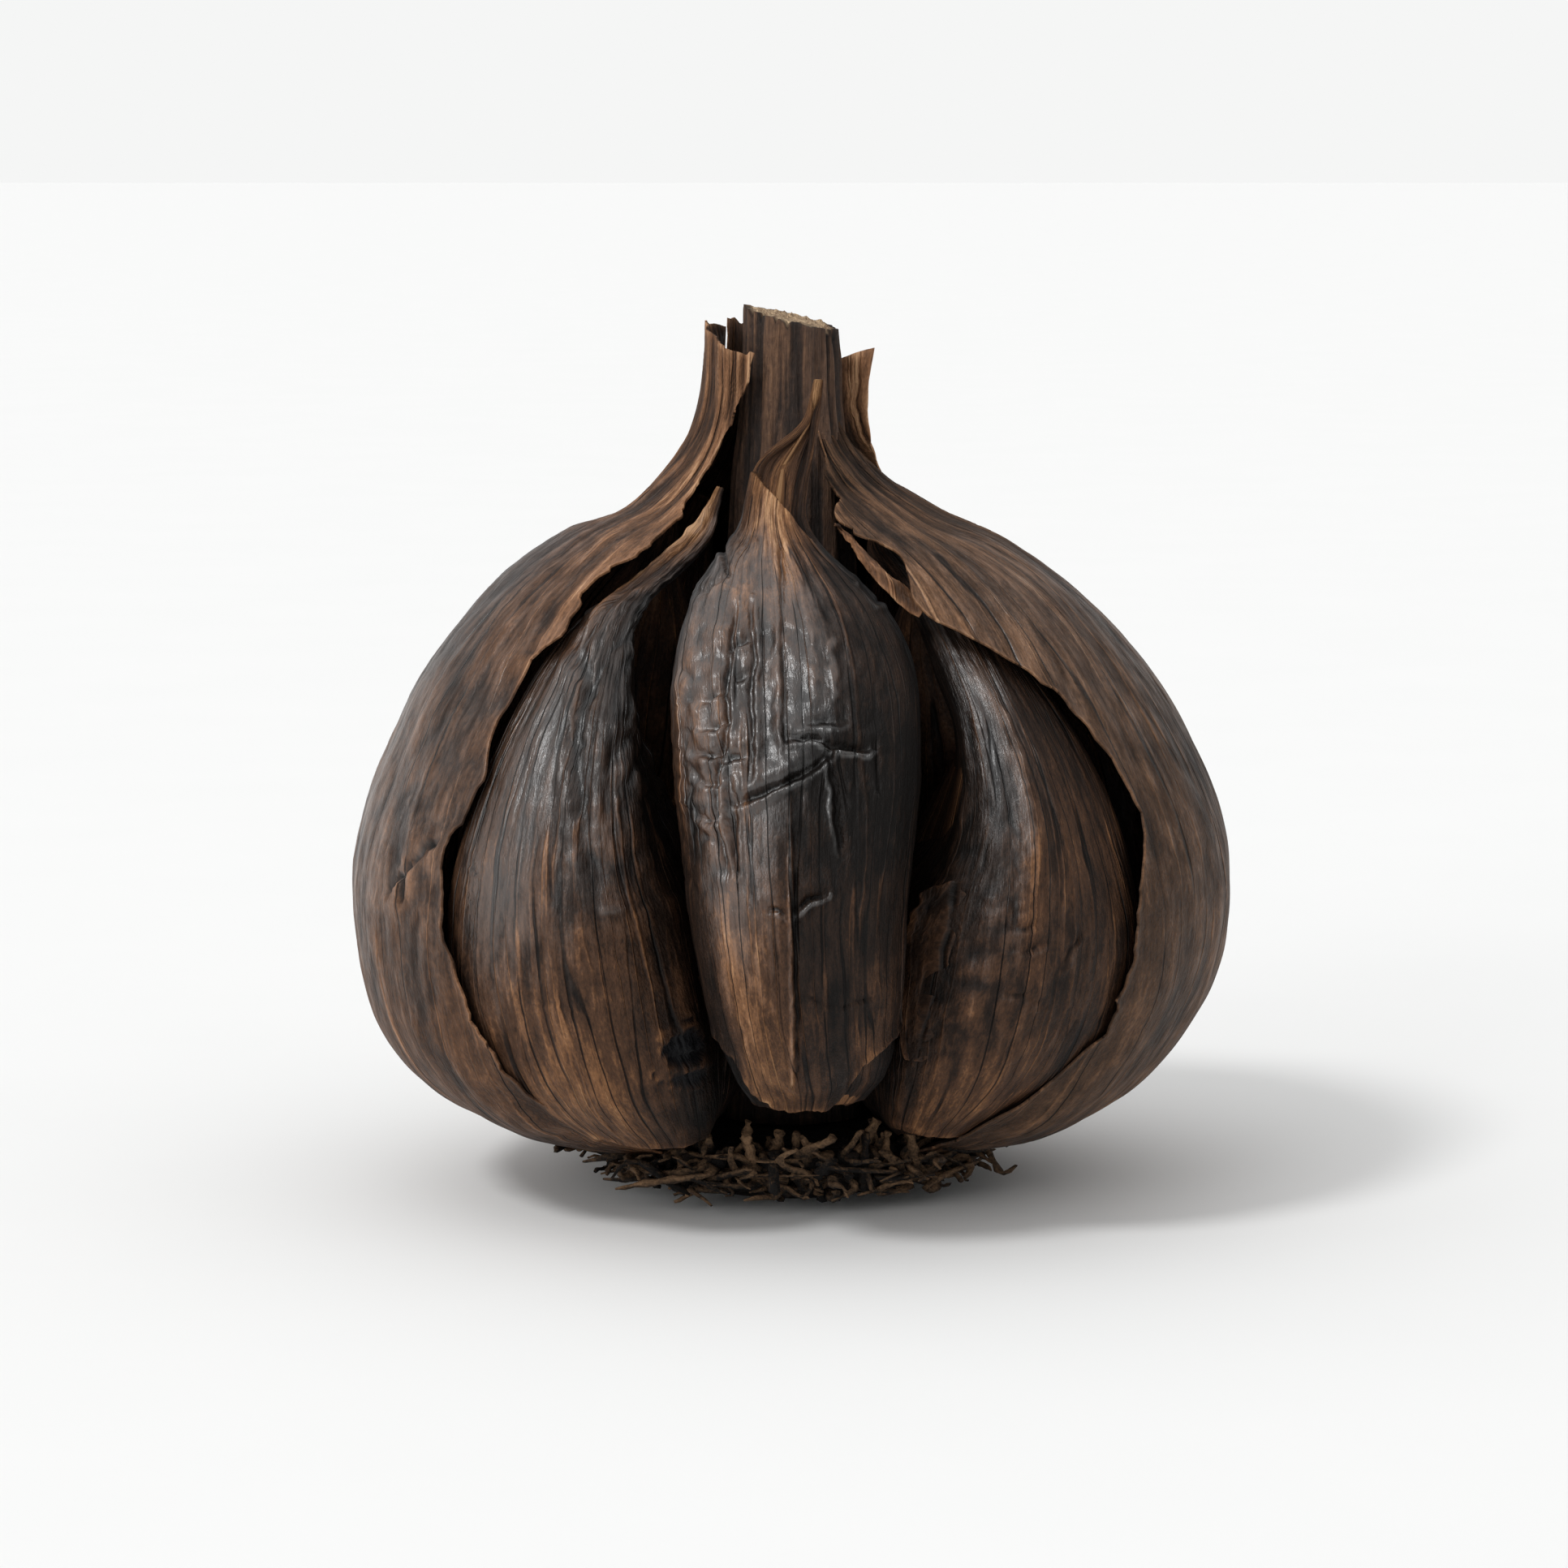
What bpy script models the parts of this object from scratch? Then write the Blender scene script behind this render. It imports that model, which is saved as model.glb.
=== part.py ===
"""Black garlic bulb: eight cloves in their skins round a cut stalk, in torn wrapper leaves on a rooted plate.

Run it with: blender --background --python part.py
The bulb stands on the flat underside of its root plate, centred on the origin, with +Z up. Azimuths are in
degrees round +Z, 0 at the front (-Y) and 90 at +X. Metres throughout, with MM for values in millimetres.
"""

import math

import bmesh
import bpy
from mathutils import Vector, noise

MM = 0.001
GAP = 0.3 * MM  # air between pieces that touch

# The bulb isn't quite round: its right side is shallower, and its neck leans a little left and back.
TILT_HEIGHTS = (3 * MM, 59 * MM)
TILT = [0.0, 0.038, 0.012, -0.004, -0.018, -0.032, -0.045, -0.050, -0.050]  # rise to the right, at even heights
NECK_LEAN = Vector((-0.85 * MM, 0.4 * MM, 0.0))
NECK_FROM, NECK_TO = 43 * MM, 49 * MM

# Outlines are lists of (radius, height) in millimetres from the root plate up, at even steps.
WRAPPER_OUTLINE = [
    (12.3, 3.1), (18.8, 4.6), (24.6, 7.9), (28.6, 13.3), (30.05, 20.5), (28.9, 27.2), (25.4, 34.6),
    (20.4, 40.9), (15.3, 44.7), (10.6, 46.9), (7.2, 49.6), (5.4, 53.6), (5.0, 59.6),
]
WRAPPER_THICKNESS = 0.5 * MM
WRAPPER_RIB = 0.12 * MM  # how far the leaves rise over each clove
BACK_LEAF_INSET = 0.9 * MM  # the back leaf runs under the rear edges of the side leaves
EDGE_TEAR = 0.8  # how far a leaf's torn edges wander, in degrees of azimuth
TOP_TEAR = 0.010  # and its torn top, as a share of the outline
SPLINTER_LEAN = 2.4 * MM  # the back leaf's right edge leans out at the top,
SPLINTER_FROM = 0.84  # from this share of its height
SPLINTER_WIDTH = 1 / 7  # over this share of its width
# The azimuths of each leaf's two edges, at even steps from base to neck.
LEFT_LEAF = (
    [-160, -160, -160, -160, -160, -160, -160, -158, -152, -146, -140, -136, -132],
    [-70, -54, -43, -44.5, -48, -50, -49.3, -44.5, -42.5, -34, -33, -30, -23],
)
RIGHT_LEAF = (
    [76, 58, 46.5, 46, 49.5, 49.8, 46, 34, 24.5, 19, 15, 20, 24],
    [150, 150, 150, 150, 150, 150, 149, 146, 138, 121, 100, 80, 75],
)
BACK_LEAF = (
    [140, 140, 140, 140, 140, 140, 139, 136, 128, 116, 104, 92, 88],
    [210, 210, 210, 210, 210, 210, 211, 214, 220, 226, 230, 232, 233],
)
# How high each leaf's top stands, as a share of the outline, from its first edge to its last.
LEFT_TOP = [0.985, 0.985, 0.98, 0.965]
RIGHT_TOP = [0.95, 0.955, 0.965, 0.95]
BACK_TOP = [0.975, 0.94, 0.98, 0.995]

# A clove's outer edge and its inner edge towards the stalk, from the root scar to the tip of its dry beak.
CLOVE_BACK = [
    (11.6, 4.2), (18.6, 6.7), (24.4, 10.9), (27.3, 16.0), (28.0, 21.4), (27.0, 27.2), (24.1, 33.2),
    (19.5, 38.8), (14.3, 42.7), (10.9, 44.8), (8.8, 46.1), (7.8, 46.9),
]
CLOVE_BELLY = [
    (10.6, 4.2), (7.8, 7.0), (6.3, 11.0), (5.7, 16.0), (5.6, 21.4), (5.6, 27.0), (5.8, 32.4),
    (6.4, 37.2), (7.4, 41.0), (7.7, 43.6), (7.4, 45.4), (7.2, 46.6),
]
CLOVE_HALF_WIDTH = [1.0, 4.6, 6.8, 8.2, 8.8, 8.6, 7.2, 4.9, 3.0, 1.9, 1.1, 0.6]
# The clove left of the front has a long beak that curls out of the opening; the one to its right is narrow.
LEFT_BACK = [*CLOVE_BACK[:8], (16.0, 41.4), (13.0, 43.5), (9.8, 45.7), (7.4, 48.8)]
LEFT_BELLY = [*CLOVE_BELLY[:7], (8.2, 37.4), (12.8, 40.0), (11.3, 42.6), (8.7, 45.1), (6.8, 48.6)]
LEFT_HALF_WIDTH = [1.0, 5.2, 7.8, 8.7, 8.9, 7.9, 6.0, 3.6, 1.4, 0.9, 0.8, 0.45]
LEFT_BEND = [0, 0.8, 1.1, 0.7, 0.6, 0.2, 0, 0.1, 0.4, 0.9, 1.3, 1.6]
RIGHT_HALF_WIDTH = [1.0, 4.8, 6.9, 8.3, 8.3, 7.0, 5.6, 4.4, 3.0, 1.8, 1.1, 0.6]
RIGHT_BEND = [0, -0.3, -0.4, -0.4, -0.4, -0.2, 0, 0, 0, 0, 0, 0]
# The front clove stands free of the leaves, and its beak runs up in front of the stalk with a twist.
FRONT_BACK = [
    (11.8, 4.2), (19.2, 8.7), (25.0, 12.0), (28.2, 16.4), (29.0, 22.0), (28.2, 28.0), (25.6, 34.2),
    (21.0, 40.0), (15.8, 43.9), (11.6, 46.6), (8.9, 50.4), (7.5, 56.2),
]
FRONT_BELLY = [
    (10.8, 4.2), (8.4, 8.4), (6.6, 12.0), (5.8, 16.6), (5.6, 22.0), (5.6, 28.0), (5.8, 33.6),
    (6.6, 38.6), (8.2, 42.6), (8.4, 46.0), (7.3, 50.2), (6.8, 56.0),
]
FRONT_HALF_WIDTH = [1.0, 3.1, 4.9, 6.0, 6.9, 7.7, 8.1, 7.5, 5.4, 2.2, 2.0, 0.4]
FRONT_BEND = [0, 0.4, 0.3, 0.1, 0, 0, 0, -0.3, -0.9, -0.9, 0.2, 2.2]
WIDEST_AT = 0.35  # the widest point of a clove's section, from its middle (0) to its back (1)
BELLY_TAPER = 0.45  # how far the section narrows towards the stalk
SECTOR = math.radians(22.0)  # half the wedge that each clove has to grow in
OPEN_SECTOR = math.radians(26.0)  # the same for the cloves in the opening, where there is more room
SKIN_THICKNESS = 0.3 * MM
SKIN_FROM = 0.07  # the skin is open at the root scar, up to this share of the clove's length
FLESH_RINGS = 0.74  # share of the skin's rings that hold flesh; the rest is an empty dry beak
OPEN_HEM_TEAR, HEM_TEAR = 0.5, 0.2  # how raggedly a skin ends at the root scar, in the opening and behind

# What is left of an inner leaf. Two scraps lie on the sides of the cloves beside the front one and reach over
# the valleys there: (where along the clove each starts and ends, its reach in millimetres at even steps up).
SCRAP_ANGLE = math.radians(84)
LEFT_SCRAP = ((0.14, 0.28), [0.6, 1.1, 1.2, 0.7])
RIGHT_SCRAP = ((0.24, 0.41), [1.0, 1.9, 2.5, 2.2])
# And a torn strip stands beside the right leaf's edge: (azimuth, share of the wrapper's outline), from root to
# tip, with its half width in degrees of azimuth.
STRIP_PATH = [(31, 0.575), (26, 0.605), (20.5, 0.645), (17.5, 0.69), (15.5, 0.73)]
STRIP_HALF_WIDTH = [2.2, 3.2, 3.4, 2.7, 1.4]

STALK_OUTLINE = [(4.8, 4.7), (5.0, 12.0), (4.9, 28.0), (4.5, 40.0), (3.9, 48.0), (3.3, 53.5), (2.9, 59.4)]
STALK_DEPTH = 0.87  # its section is a little flatter from front to back
STALK_LEAN = Vector((0.35 * MM, -0.5 * MM, 0.0))
CUT_SLOPE = Vector((-0.24, 0.05, 0.0))  # rise of the cut end to the right and to the back
STALK_FLUTES = 7
FLUTE_DEPTH = 0.2 * MM

PLATE_OUTLINE = [(0, 4.4), (8.5, 4.4), (11.2, 4.2), (11.9, 3.4), (11.5, 2.0), (10.4, 0.7), (9.4, 0), (0, 0)]

# Rows of roots: count, start height, end height, reach past the plate and thickness, in millimetres.
ROOT_ROWS = [(15, 1.4, 1.0, 1.3, 0.50), (15, 2.0, 1.6, 2.2, 0.42)]
ROOT_POINTS = 5


def clear_scene():
    for old in list(bpy.data.objects):
        bpy.data.objects.remove(old, do_unlink=True)


def new_collection(name):
    made = bpy.data.collections.new(name)
    bpy.context.scene.collection.children.link(made)
    return made


def new_material(name, colour, roughness):
    made = bpy.data.materials.new(name)
    made.use_nodes = True
    shader = made.node_tree.nodes["Principled BSDF"]
    shader.inputs["Base Color"].default_value = (*colour, 1.0)
    shader.inputs["Roughness"].default_value = roughness
    shader.inputs["Metallic"].default_value = 0.0
    made.diffuse_color = (*colour, 1.0)
    return made


def new_object(name, bm, material, collection, smooth=True):
    mesh = bpy.data.meshes.new(name)
    bm.to_mesh(mesh)
    bm.free()
    mesh.materials.append(material)
    if smooth:
        mesh.shade_smooth()
    made = bpy.data.objects.new(name, mesh)
    collection.objects.link(made)
    return made


def thicken(piece, thickness):
    """Turns an open surface into a shell that grows inwards."""
    shell = piece.modifiers.new("Thickness", "SOLIDIFY")
    shell.thickness = thickness
    shell.offset = -1.0


def curve_through(points):
    """A smooth curve (Catmull-Rom) through points at even steps: gives the point at a share from 0 to 1."""
    rows = [Vector(point) for point in points]
    rows = [2 * rows[0] - rows[1], *rows, 2 * rows[-1] - rows[-2]]

    def at(share):
        place = min(max(share, 0.0), 1.0) * (len(rows) - 3)
        i = min(int(place), len(rows) - 4)
        f = place - i
        a, b, c, d = rows[i : i + 4]
        square, cube = 2 * a - 5 * b + 4 * c - d, 3 * b - a - 3 * c + d
        return 0.5 * (2 * b + (c - a) * f + square * f**2 + cube * f**3)

    return at


def value_through(values):
    """The same for plain numbers."""
    at = curve_through([(value, 0.0) for value in values])
    return lambda share: at(share).x


def torn(place, seed):
    """A torn edge's wander at a place along it, between about -1 and 1 and the same each run."""
    coarse = noise.noise(Vector((place * 9.0, seed, 0.5)))
    fine = noise.noise(Vector((place * 31.0, seed, 7.5)))
    return coarse + 0.5 * fine


def on_circle(azimuth, radius, height):
    angle = math.radians(azimuth)
    return Vector((radius * math.sin(angle), -radius * math.cos(angle), height))


def settle(point):
    """Gives a point of an ideal round bulb its place on the real one."""
    low, high = TILT_HEIGHTS
    rise = point.x * value_through(TILT)((point.z - low) / (high - low))
    up_neck = min(max((point.z - NECK_FROM) / (NECK_TO - NECK_FROM), 0.0), 1.0)
    return point + NECK_LEAN * up_neck * up_neck * (3 - 2 * up_neck) + Vector((0.0, 0.0, rise))


class CloveForm:
    """The outside of a clove: sections round its length, bent along the bulb from scar to tip."""

    def __init__(self, azimuth, back, belly, half_width, bend, sector):
        self.back = curve_through(back)
        self.belly = curve_through(belly)
        self.half_width = value_through(half_width)
        self.bend = value_through(bend)
        self.sector = sector
        self.azimuth = azimuth

    def place(self, out, across, height):
        """A point from its distances out from the axis, across the clove and up."""
        ahead = on_circle(self.azimuth, out * MM, height * MM)
        return settle(ahead + on_circle(self.azimuth + 90, across * MM, 0.0))

    def point(self, share, angle):
        """share runs from the scar (0) to the tip (1), and angle round the section from its back."""
        outer, inner = self.back(share), self.belly(share)
        c, s = math.cos(angle), math.sin(angle)
        along = c + WIDEST_AT * s * s
        out, height = (outer + inner) / 2 + (outer - inner) / 2 * along
        across = self.half_width(share) * s * (1 + BELLY_TAPER * min(c, 0.0))
        limit = max(out * math.tan(self.sector) - GAP / MM, 0.3)
        return self.place(out, min(max(across, -limit), limit) + self.bend(share), height)

    def middle(self, share):
        out, height = (self.back(share) + self.belly(share)) / 2
        return self.place(out, self.bend(share), height)


def wrap_sphere(form, around, shares):
    """A UV sphere bent into a clove's form, with its rings at the given shares, poles included."""
    bm = bmesh.new()
    rings = len(shares) - 1
    bmesh.ops.create_uvsphere(bm, u_segments=around, v_segments=rings, radius=1.0)
    for v in bm.verts:
        ring = round(math.acos(max(-1.0, min(1.0, -v.co.z))) / math.pi * rings)
        pole = ring in (0, rings)
        v.co = form.middle(shares[ring]) if pole else form.point(shares[ring], math.atan2(v.co.y, v.co.x))
    bmesh.ops.recalc_face_normals(bm, faces=bm.faces)
    bm.verts.ensure_lookup_table()
    return bm


def skin_rings(count):
    """Shares of a skin's rings, from its open hem to its tip."""
    return [SKIN_FROM + (1 - SKIN_FROM) * i / count for i in range(count + 1)]


def make_clove(name, form, around, rings, material, collection):
    """The flesh: the clove's form, drawn in to leave room for the skin, whose rings it shares."""
    filled = skin_rings(rings)[: round(FLESH_RINGS * rings) + 1]
    bm = wrap_sphere(form, around, [0.0, *filled])
    bm.normal_update()
    inset = SKIN_THICKNESS + GAP
    moved = [v.co - v.normal * inset for v in bm.verts]
    for v, place in zip(bm.verts, moved):
        v.co = place
    new_object(name, bm, material, collection)


def make_clove_skin(name, form, around, rings, tear, material, collection):
    """The papery skin: open at the root scar with a torn hem, and drawn up into a dry beak."""
    bm = wrap_sphere(form, around, [0.0, *skin_rings(rings)])
    scar = min(bm.verts, key=lambda v: (v.co - form.middle(0.0)).length)
    hem = [edge.other_vert(scar) for edge in scar.link_edges]
    for i, v in enumerate(hem):
        rise = tear * (0.5 + torn(i / around, form.azimuth))
        v.co = v.co.lerp(max((e.other_vert(v) for e in v.link_edges), key=lambda w: w.co.z).co, rise)
    bmesh.ops.delete(bm, geom=[scar], context="VERTS")
    new_object(name, bm, material, collection)
    thicken(collection.objects[name], SKIN_THICKNESS)


def make_sheet(name, columns, rows, place, thickness, material, collection):
    """A leaf or a scrap of one from a flat grid: place(across, up), both 0 to 1, gives each point."""
    bm = bmesh.new()
    bmesh.ops.create_grid(bm, x_segments=columns, y_segments=rows, size=0.5)
    for v in bm.verts:
        v.co = place(v.co.x + 0.5, v.co.y + 0.5)
    bm.normal_update()
    facing_out = sum(f.normal.dot(Vector((*f.calc_center_median().xy, 0.0))) for f in bm.faces)
    if facing_out < 0:
        bmesh.ops.reverse_faces(bm, faces=bm.faces)
    new_object(name, bm, material, collection)
    thicken(collection.objects[name], thickness)


def leaf_surface(azimuth, share, inset=0.0):
    """A point on the wrapper's outside, or inset from it: the outline, ribbed a little over each clove."""
    outline = curve_through(WRAPPER_OUTLINE)
    run = outline(share + 0.01) - outline(share - 0.01)
    radius, height = outline(share) - inset / MM * Vector((run.y, -run.x)).normalized()
    rib = WRAPPER_RIB / MM * math.cos(math.radians(azimuth) * 8) * math.sin(math.pi * share)
    return settle(on_circle(azimuth, (radius + rib) * MM, height * MM))


def leaf_place(edges, top, seed, inset=0.0):
    """Points of a wrapper leaf between two torn edges, up to a torn top given as shares of the outline."""
    first, last = value_through(edges[0]), value_through(edges[1])
    crest = value_through(top)

    def place(across, up):
        share = up * (crest(across) + TOP_TEAR * torn(across * 3, seed) * up)
        low = first(share) + EDGE_TEAR * torn(share * 2, seed + 1)
        high = last(share) + EDGE_TEAR * torn(share * 2, seed + 2)
        return leaf_surface(low + (high - low) * across, share, inset)

    return place


def make_wrappers(material, collection):
    """Three leaves: left and right of the opening at the front, and a back one under their rear edges."""
    left = leaf_place(LEFT_LEAF, LEFT_TOP, seed=3)
    right = leaf_place(RIGHT_LEAF, RIGHT_TOP, seed=11)
    back = leaf_place(BACK_LEAF, BACK_TOP, seed=23, inset=BACK_LEAF_INSET)

    def back_with_splinter(across, up):
        """Its right edge has torn free at the top and leans outwards."""
        point = back(across, up)
        lean = max(0.0, up - SPLINTER_FROM) / (1 - SPLINTER_FROM) * max(0.0, 1 - across / SPLINTER_WIDTH)
        return point + Vector((point.x, point.y, 0.0)).normalized() * lean * SPLINTER_LEAN

    make_sheet("wrapper_left", 16, 20, left, WRAPPER_THICKNESS, material, collection)
    make_sheet("wrapper_right", 14, 20, right, WRAPPER_THICKNESS, material, collection)
    make_sheet("wrapper_back", 14, 20, back_with_splinter, WRAPPER_THICKNESS, material, collection)


def scrap_place(form, angle, scrap, seed):
    """Points of a scrap that lies on one side of a clove's skin and reaches over the valley next to it."""
    shares, reach = scrap
    width = value_through(reach)

    def place(across, up):
        share = shares[0] + (shares[1] - shares[0]) * up + 0.01 * torn(across * 2, seed)
        edge = form.point(share, angle)
        edge += (edge - form.middle(share)).normalized() * (GAP + SKIN_THICKNESS) * 1.1
        reach_here = width(up) + 0.3 * torn(up * 3, seed)
        return edge + on_circle(form.azimuth + math.copysign(130, angle), reach_here * MM, 0.0) * across

    return place


def make_scraps(cloves, material, collection):
    """A scrap over the valley on each side of the front clove, and the torn strip."""
    left = scrap_place(cloves["front_left"], SCRAP_ANGLE, LEFT_SCRAP, seed=51)
    right = scrap_place(cloves["front_right"], -SCRAP_ANGLE, RIGHT_SCRAP, seed=57)
    make_sheet("skin_scrap_left", 3, 8, left, SKIN_THICKNESS, material, collection)
    make_sheet("skin_scrap_right", 4, 8, right, SKIN_THICKNESS, material, collection)
    middle, half_width = curve_through(STRIP_PATH), value_through(STRIP_HALF_WIDTH)

    def strip(across, up):
        """It starts under the leaf and rises to the leaf's own level."""
        azimuth, share = middle(up)
        inset = (WRAPPER_THICKNESS + GAP) * max(1.1 - 2 * up, 0.2)
        return leaf_surface(azimuth + (across - 0.5) * 2 * half_width(up), share, inset)

    make_sheet("skin_strip_right", 3, 9, strip, SKIN_THICKNESS, material, collection)


def make_stalk(material, collection):
    """The stalk: a fluted column down to the root plate, cut off at a slant above the neck."""
    outline = curve_through(STALK_OUTLINE)
    bm = bmesh.new()
    bmesh.ops.create_cone(bm, cap_ends=True, segments=28, radius1=1.0, radius2=1.0, depth=1.0)
    upright = [e for e in bm.edges if abs(e.verts[0].co.z - e.verts[1].co.z) > 0.5]
    bmesh.ops.subdivide_edges(bm, edges=upright, cuts=9)
    for v in bm.verts:
        share = v.co.z + 0.5
        angle = math.atan2(v.co.y, v.co.x)
        radius, height = outline(share) * MM
        radius += FLUTE_DEPTH * math.cos(STALK_FLUTES * angle) * share
        side = Vector((radius * math.cos(angle), radius * STALK_DEPTH * math.sin(angle), 0.0))
        v.co = side + STALK_LEAN * share**3 + Vector((0.0, 0.0, height + CUT_SLOPE.dot(side) * share**12))
    bmesh.ops.recalc_face_normals(bm, faces=bm.faces)
    new_object("stalk", bm, material, collection)
    collection.objects["stalk"].data.set_sharp_from_angle(angle=math.radians(50))


def make_root_plate(material, collection):
    """The hard plate that cloves and roots grow from: turned, and flat underneath."""
    bm = bmesh.new()
    points = [bm.verts.new((radius * MM, 0.0, height * MM)) for radius, height in PLATE_OUTLINE]
    for upper, lower in zip(points, points[1:]):
        bm.edges.new((upper, lower))
    new_object("root_plate", bm, material, collection, smooth=False)
    turn = collection.objects["root_plate"].modifiers.new("Turn", "SCREW")
    turn.steps = turn.render_steps = 32
    turn.use_merge_vertices = True
    turn.merge_threshold = 0.01 * MM


def make_root(name, azimuth, wander, row, material, collection):
    """One dry root: it leaves the plate's side and curls down to the ground."""
    _, start_height, end_height, reach, thickness = row
    plate_side = PLATE_OUTLINE[3][0]
    curve = bpy.data.curves.new(name, "CURVE")
    curve.dimensions = "3D"
    curve.bevel_depth = thickness * MM
    curve.bevel_resolution = 1
    curve.use_fill_caps = True
    spline = curve.splines.new("POLY")
    spline.points.add(ROOT_POINTS - 1)
    for i, point in enumerate(spline.points):
        along = i / (ROOT_POINTS - 1)
        radius = plate_side + GAP / MM + thickness + reach * (1 + 0.3 * wander) * along
        height = start_height + (end_height - start_height) * along**1.6
        swing = 6.0 * wander * math.sin(2.4 * along)
        point.co = (*on_circle(azimuth + swing, radius * MM, height * MM), 1.0)
        point.radius = 1.0 - 0.4 * along
    curve.materials.append(material)
    collection.objects.link(bpy.data.objects.new(name, curve))


def make_roots(material, collection):
    number = 0
    for turn, row in enumerate(ROOT_ROWS):
        for i in range(row[0]):
            number += 1
            wander = noise.noise(Vector((number * 1.7, 3.1, 0.4)))
            make_root(f"root_{number:02d}", 360 * (i + 0.5 * turn) / row[0], wander, row, material, collection)


def clove_forms():
    """The eight cloves' forms, by name, going round from the front."""
    still = [0.0] * len(CLOVE_BACK)
    common = (CLOVE_BACK, CLOVE_BELLY, CLOVE_HALF_WIDTH, still, SECTOR)
    return {
        "front": CloveForm(1.0, FRONT_BACK, FRONT_BELLY, FRONT_HALF_WIDTH, FRONT_BEND, OPEN_SECTOR),
        "front_right": CloveForm(47.5, CLOVE_BACK, CLOVE_BELLY, RIGHT_HALF_WIDTH, RIGHT_BEND, OPEN_SECTOR),
        "right": CloveForm(91.5, *common),
        "back_right": CloveForm(136.0, *common),
        "back": CloveForm(180.5, *common),
        "back_left": CloveForm(225.5, *common),
        "left": CloveForm(271.0, *common),
        "front_left": CloveForm(316.5, LEFT_BACK, LEFT_BELLY, LEFT_HALF_WIDTH, LEFT_BEND, OPEN_SECTOR),
    }


def make_cloves(forms, flesh, skin, collection):
    """Each clove in its own skin; the three in the opening are finer."""
    for name, form in forms.items():
        in_opening = name.startswith("front")
        around, rings, tear = (18, 15, OPEN_HEM_TEAR) if in_opening else (14, 11, HEM_TEAR)
        make_clove(f"clove_{name}", form, around, rings, flesh, collection)
        make_clove_skin(f"clove_skin_{name}", form, around, rings, tear, skin, collection)


def main():
    clear_scene()
    bulb = new_collection("black_garlic_bulb")
    flesh = new_material("black_flesh", (0.020, 0.014, 0.011), 0.35)
    skin = new_material("clove_skin", (0.075, 0.050, 0.036), 0.50)
    leaf = new_material("wrapper_leaf", (0.160, 0.105, 0.072), 0.65)
    stalk = new_material("stalk_fibre", (0.150, 0.095, 0.060), 0.75)
    root = new_material("root_fibre", (0.070, 0.046, 0.030), 0.85)

    make_root_plate(root, bulb)
    make_roots(root, bulb)
    make_stalk(stalk, bulb)
    forms = clove_forms()
    make_cloves(forms, flesh, skin, bulb)
    make_wrappers(leaf, bulb)
    make_scraps(forms, leaf, bulb)


main()
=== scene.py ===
# %% [markdown]
# # A black garlic bulb, leaf by leaf
# Black garlic is a whole garlic bulb that has been kept warm and damp for weeks. Its cloves turn black, and
# the papery skins round them dry to dark brown leather. This lesson builds the looks of such a bulb on top
# of a plain solid model: torn wrapper leaves, wrinkled clove skins, a fibrous stalk and a mat of dry roots.
#
# The solid model is loaded first, and its shapes are never changed. Each visible piece is then made again,
# finer, in its place.

# %% Load the solid model
import itertools

import bpy
import numpy as np
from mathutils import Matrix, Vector


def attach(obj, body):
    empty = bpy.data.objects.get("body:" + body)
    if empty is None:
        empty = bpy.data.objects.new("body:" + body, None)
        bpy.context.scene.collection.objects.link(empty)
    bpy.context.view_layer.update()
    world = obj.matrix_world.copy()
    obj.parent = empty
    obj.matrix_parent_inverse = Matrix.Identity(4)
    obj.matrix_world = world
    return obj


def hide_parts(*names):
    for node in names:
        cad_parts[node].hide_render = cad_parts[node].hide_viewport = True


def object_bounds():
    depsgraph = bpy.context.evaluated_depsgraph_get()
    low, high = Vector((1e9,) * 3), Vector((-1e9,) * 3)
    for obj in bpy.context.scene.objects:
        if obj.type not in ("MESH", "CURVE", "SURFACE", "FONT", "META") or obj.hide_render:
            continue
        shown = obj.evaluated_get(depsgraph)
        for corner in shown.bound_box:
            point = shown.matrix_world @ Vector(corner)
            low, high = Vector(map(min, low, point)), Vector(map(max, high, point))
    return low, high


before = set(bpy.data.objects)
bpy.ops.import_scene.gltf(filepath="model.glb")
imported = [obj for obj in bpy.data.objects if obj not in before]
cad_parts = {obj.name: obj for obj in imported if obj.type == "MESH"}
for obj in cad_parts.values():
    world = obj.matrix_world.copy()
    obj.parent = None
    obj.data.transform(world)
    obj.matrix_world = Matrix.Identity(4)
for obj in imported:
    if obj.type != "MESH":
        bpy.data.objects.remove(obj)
cad_low, cad_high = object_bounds()
print("solid model:", len(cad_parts), "pieces, from", tuple(cad_low), "to", tuple(cad_high))

# %% [markdown]
# ## One scale for everything
# A bulb is easiest to describe in millimetres, while Blender works in metres. All outlines below are
# written for a bulb 60.28 mm wide. Dividing the loaded model's real width by that number gives the length
# of one such millimetre, so the looks would follow if the model were packed at another size.

# %% The length of a millimetre
DESIGN_WIDTH = 60.28
MM = (cad_high.x - cad_low.x) / DESIGN_WIDTH
print("one millimetre of the outlines is", round(MM, 6), "m")

# %% [markdown]
# ## Smooth curves from a few numbers
# A leaf's outline, or the width of a clove from its foot to its tip, is a handful of points with a smooth
# curve through them. The Catmull-Rom formula is a simple smooth curve that passes through all its points.
# It is written for whole NumPy arrays, so one call gives thousands of places at once, which keeps the
# script quick.

# %% Curves
def curve(points, share):
    """The place at a share (0 to 1, any array) of the way along evenly stepped points."""
    rows = np.asarray(points, float)
    rows = np.vstack([2 * rows[0] - rows[1], rows, 2 * rows[-1] - rows[-2]])
    place = np.clip(share, 0, 1) * (len(rows) - 3)
    i = np.minimum(place.astype(int), len(rows) - 4)
    f = (place - i)[..., None]
    a, b, c, d = rows[i], rows[i + 1], rows[i + 2], rows[i + 3]
    return 0.5 * (2 * b + (c - a) * f + (2 * a - 5 * b + 4 * c - d) * f**2 + (3 * b - a - 3 * c + d) * f**3)


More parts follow.
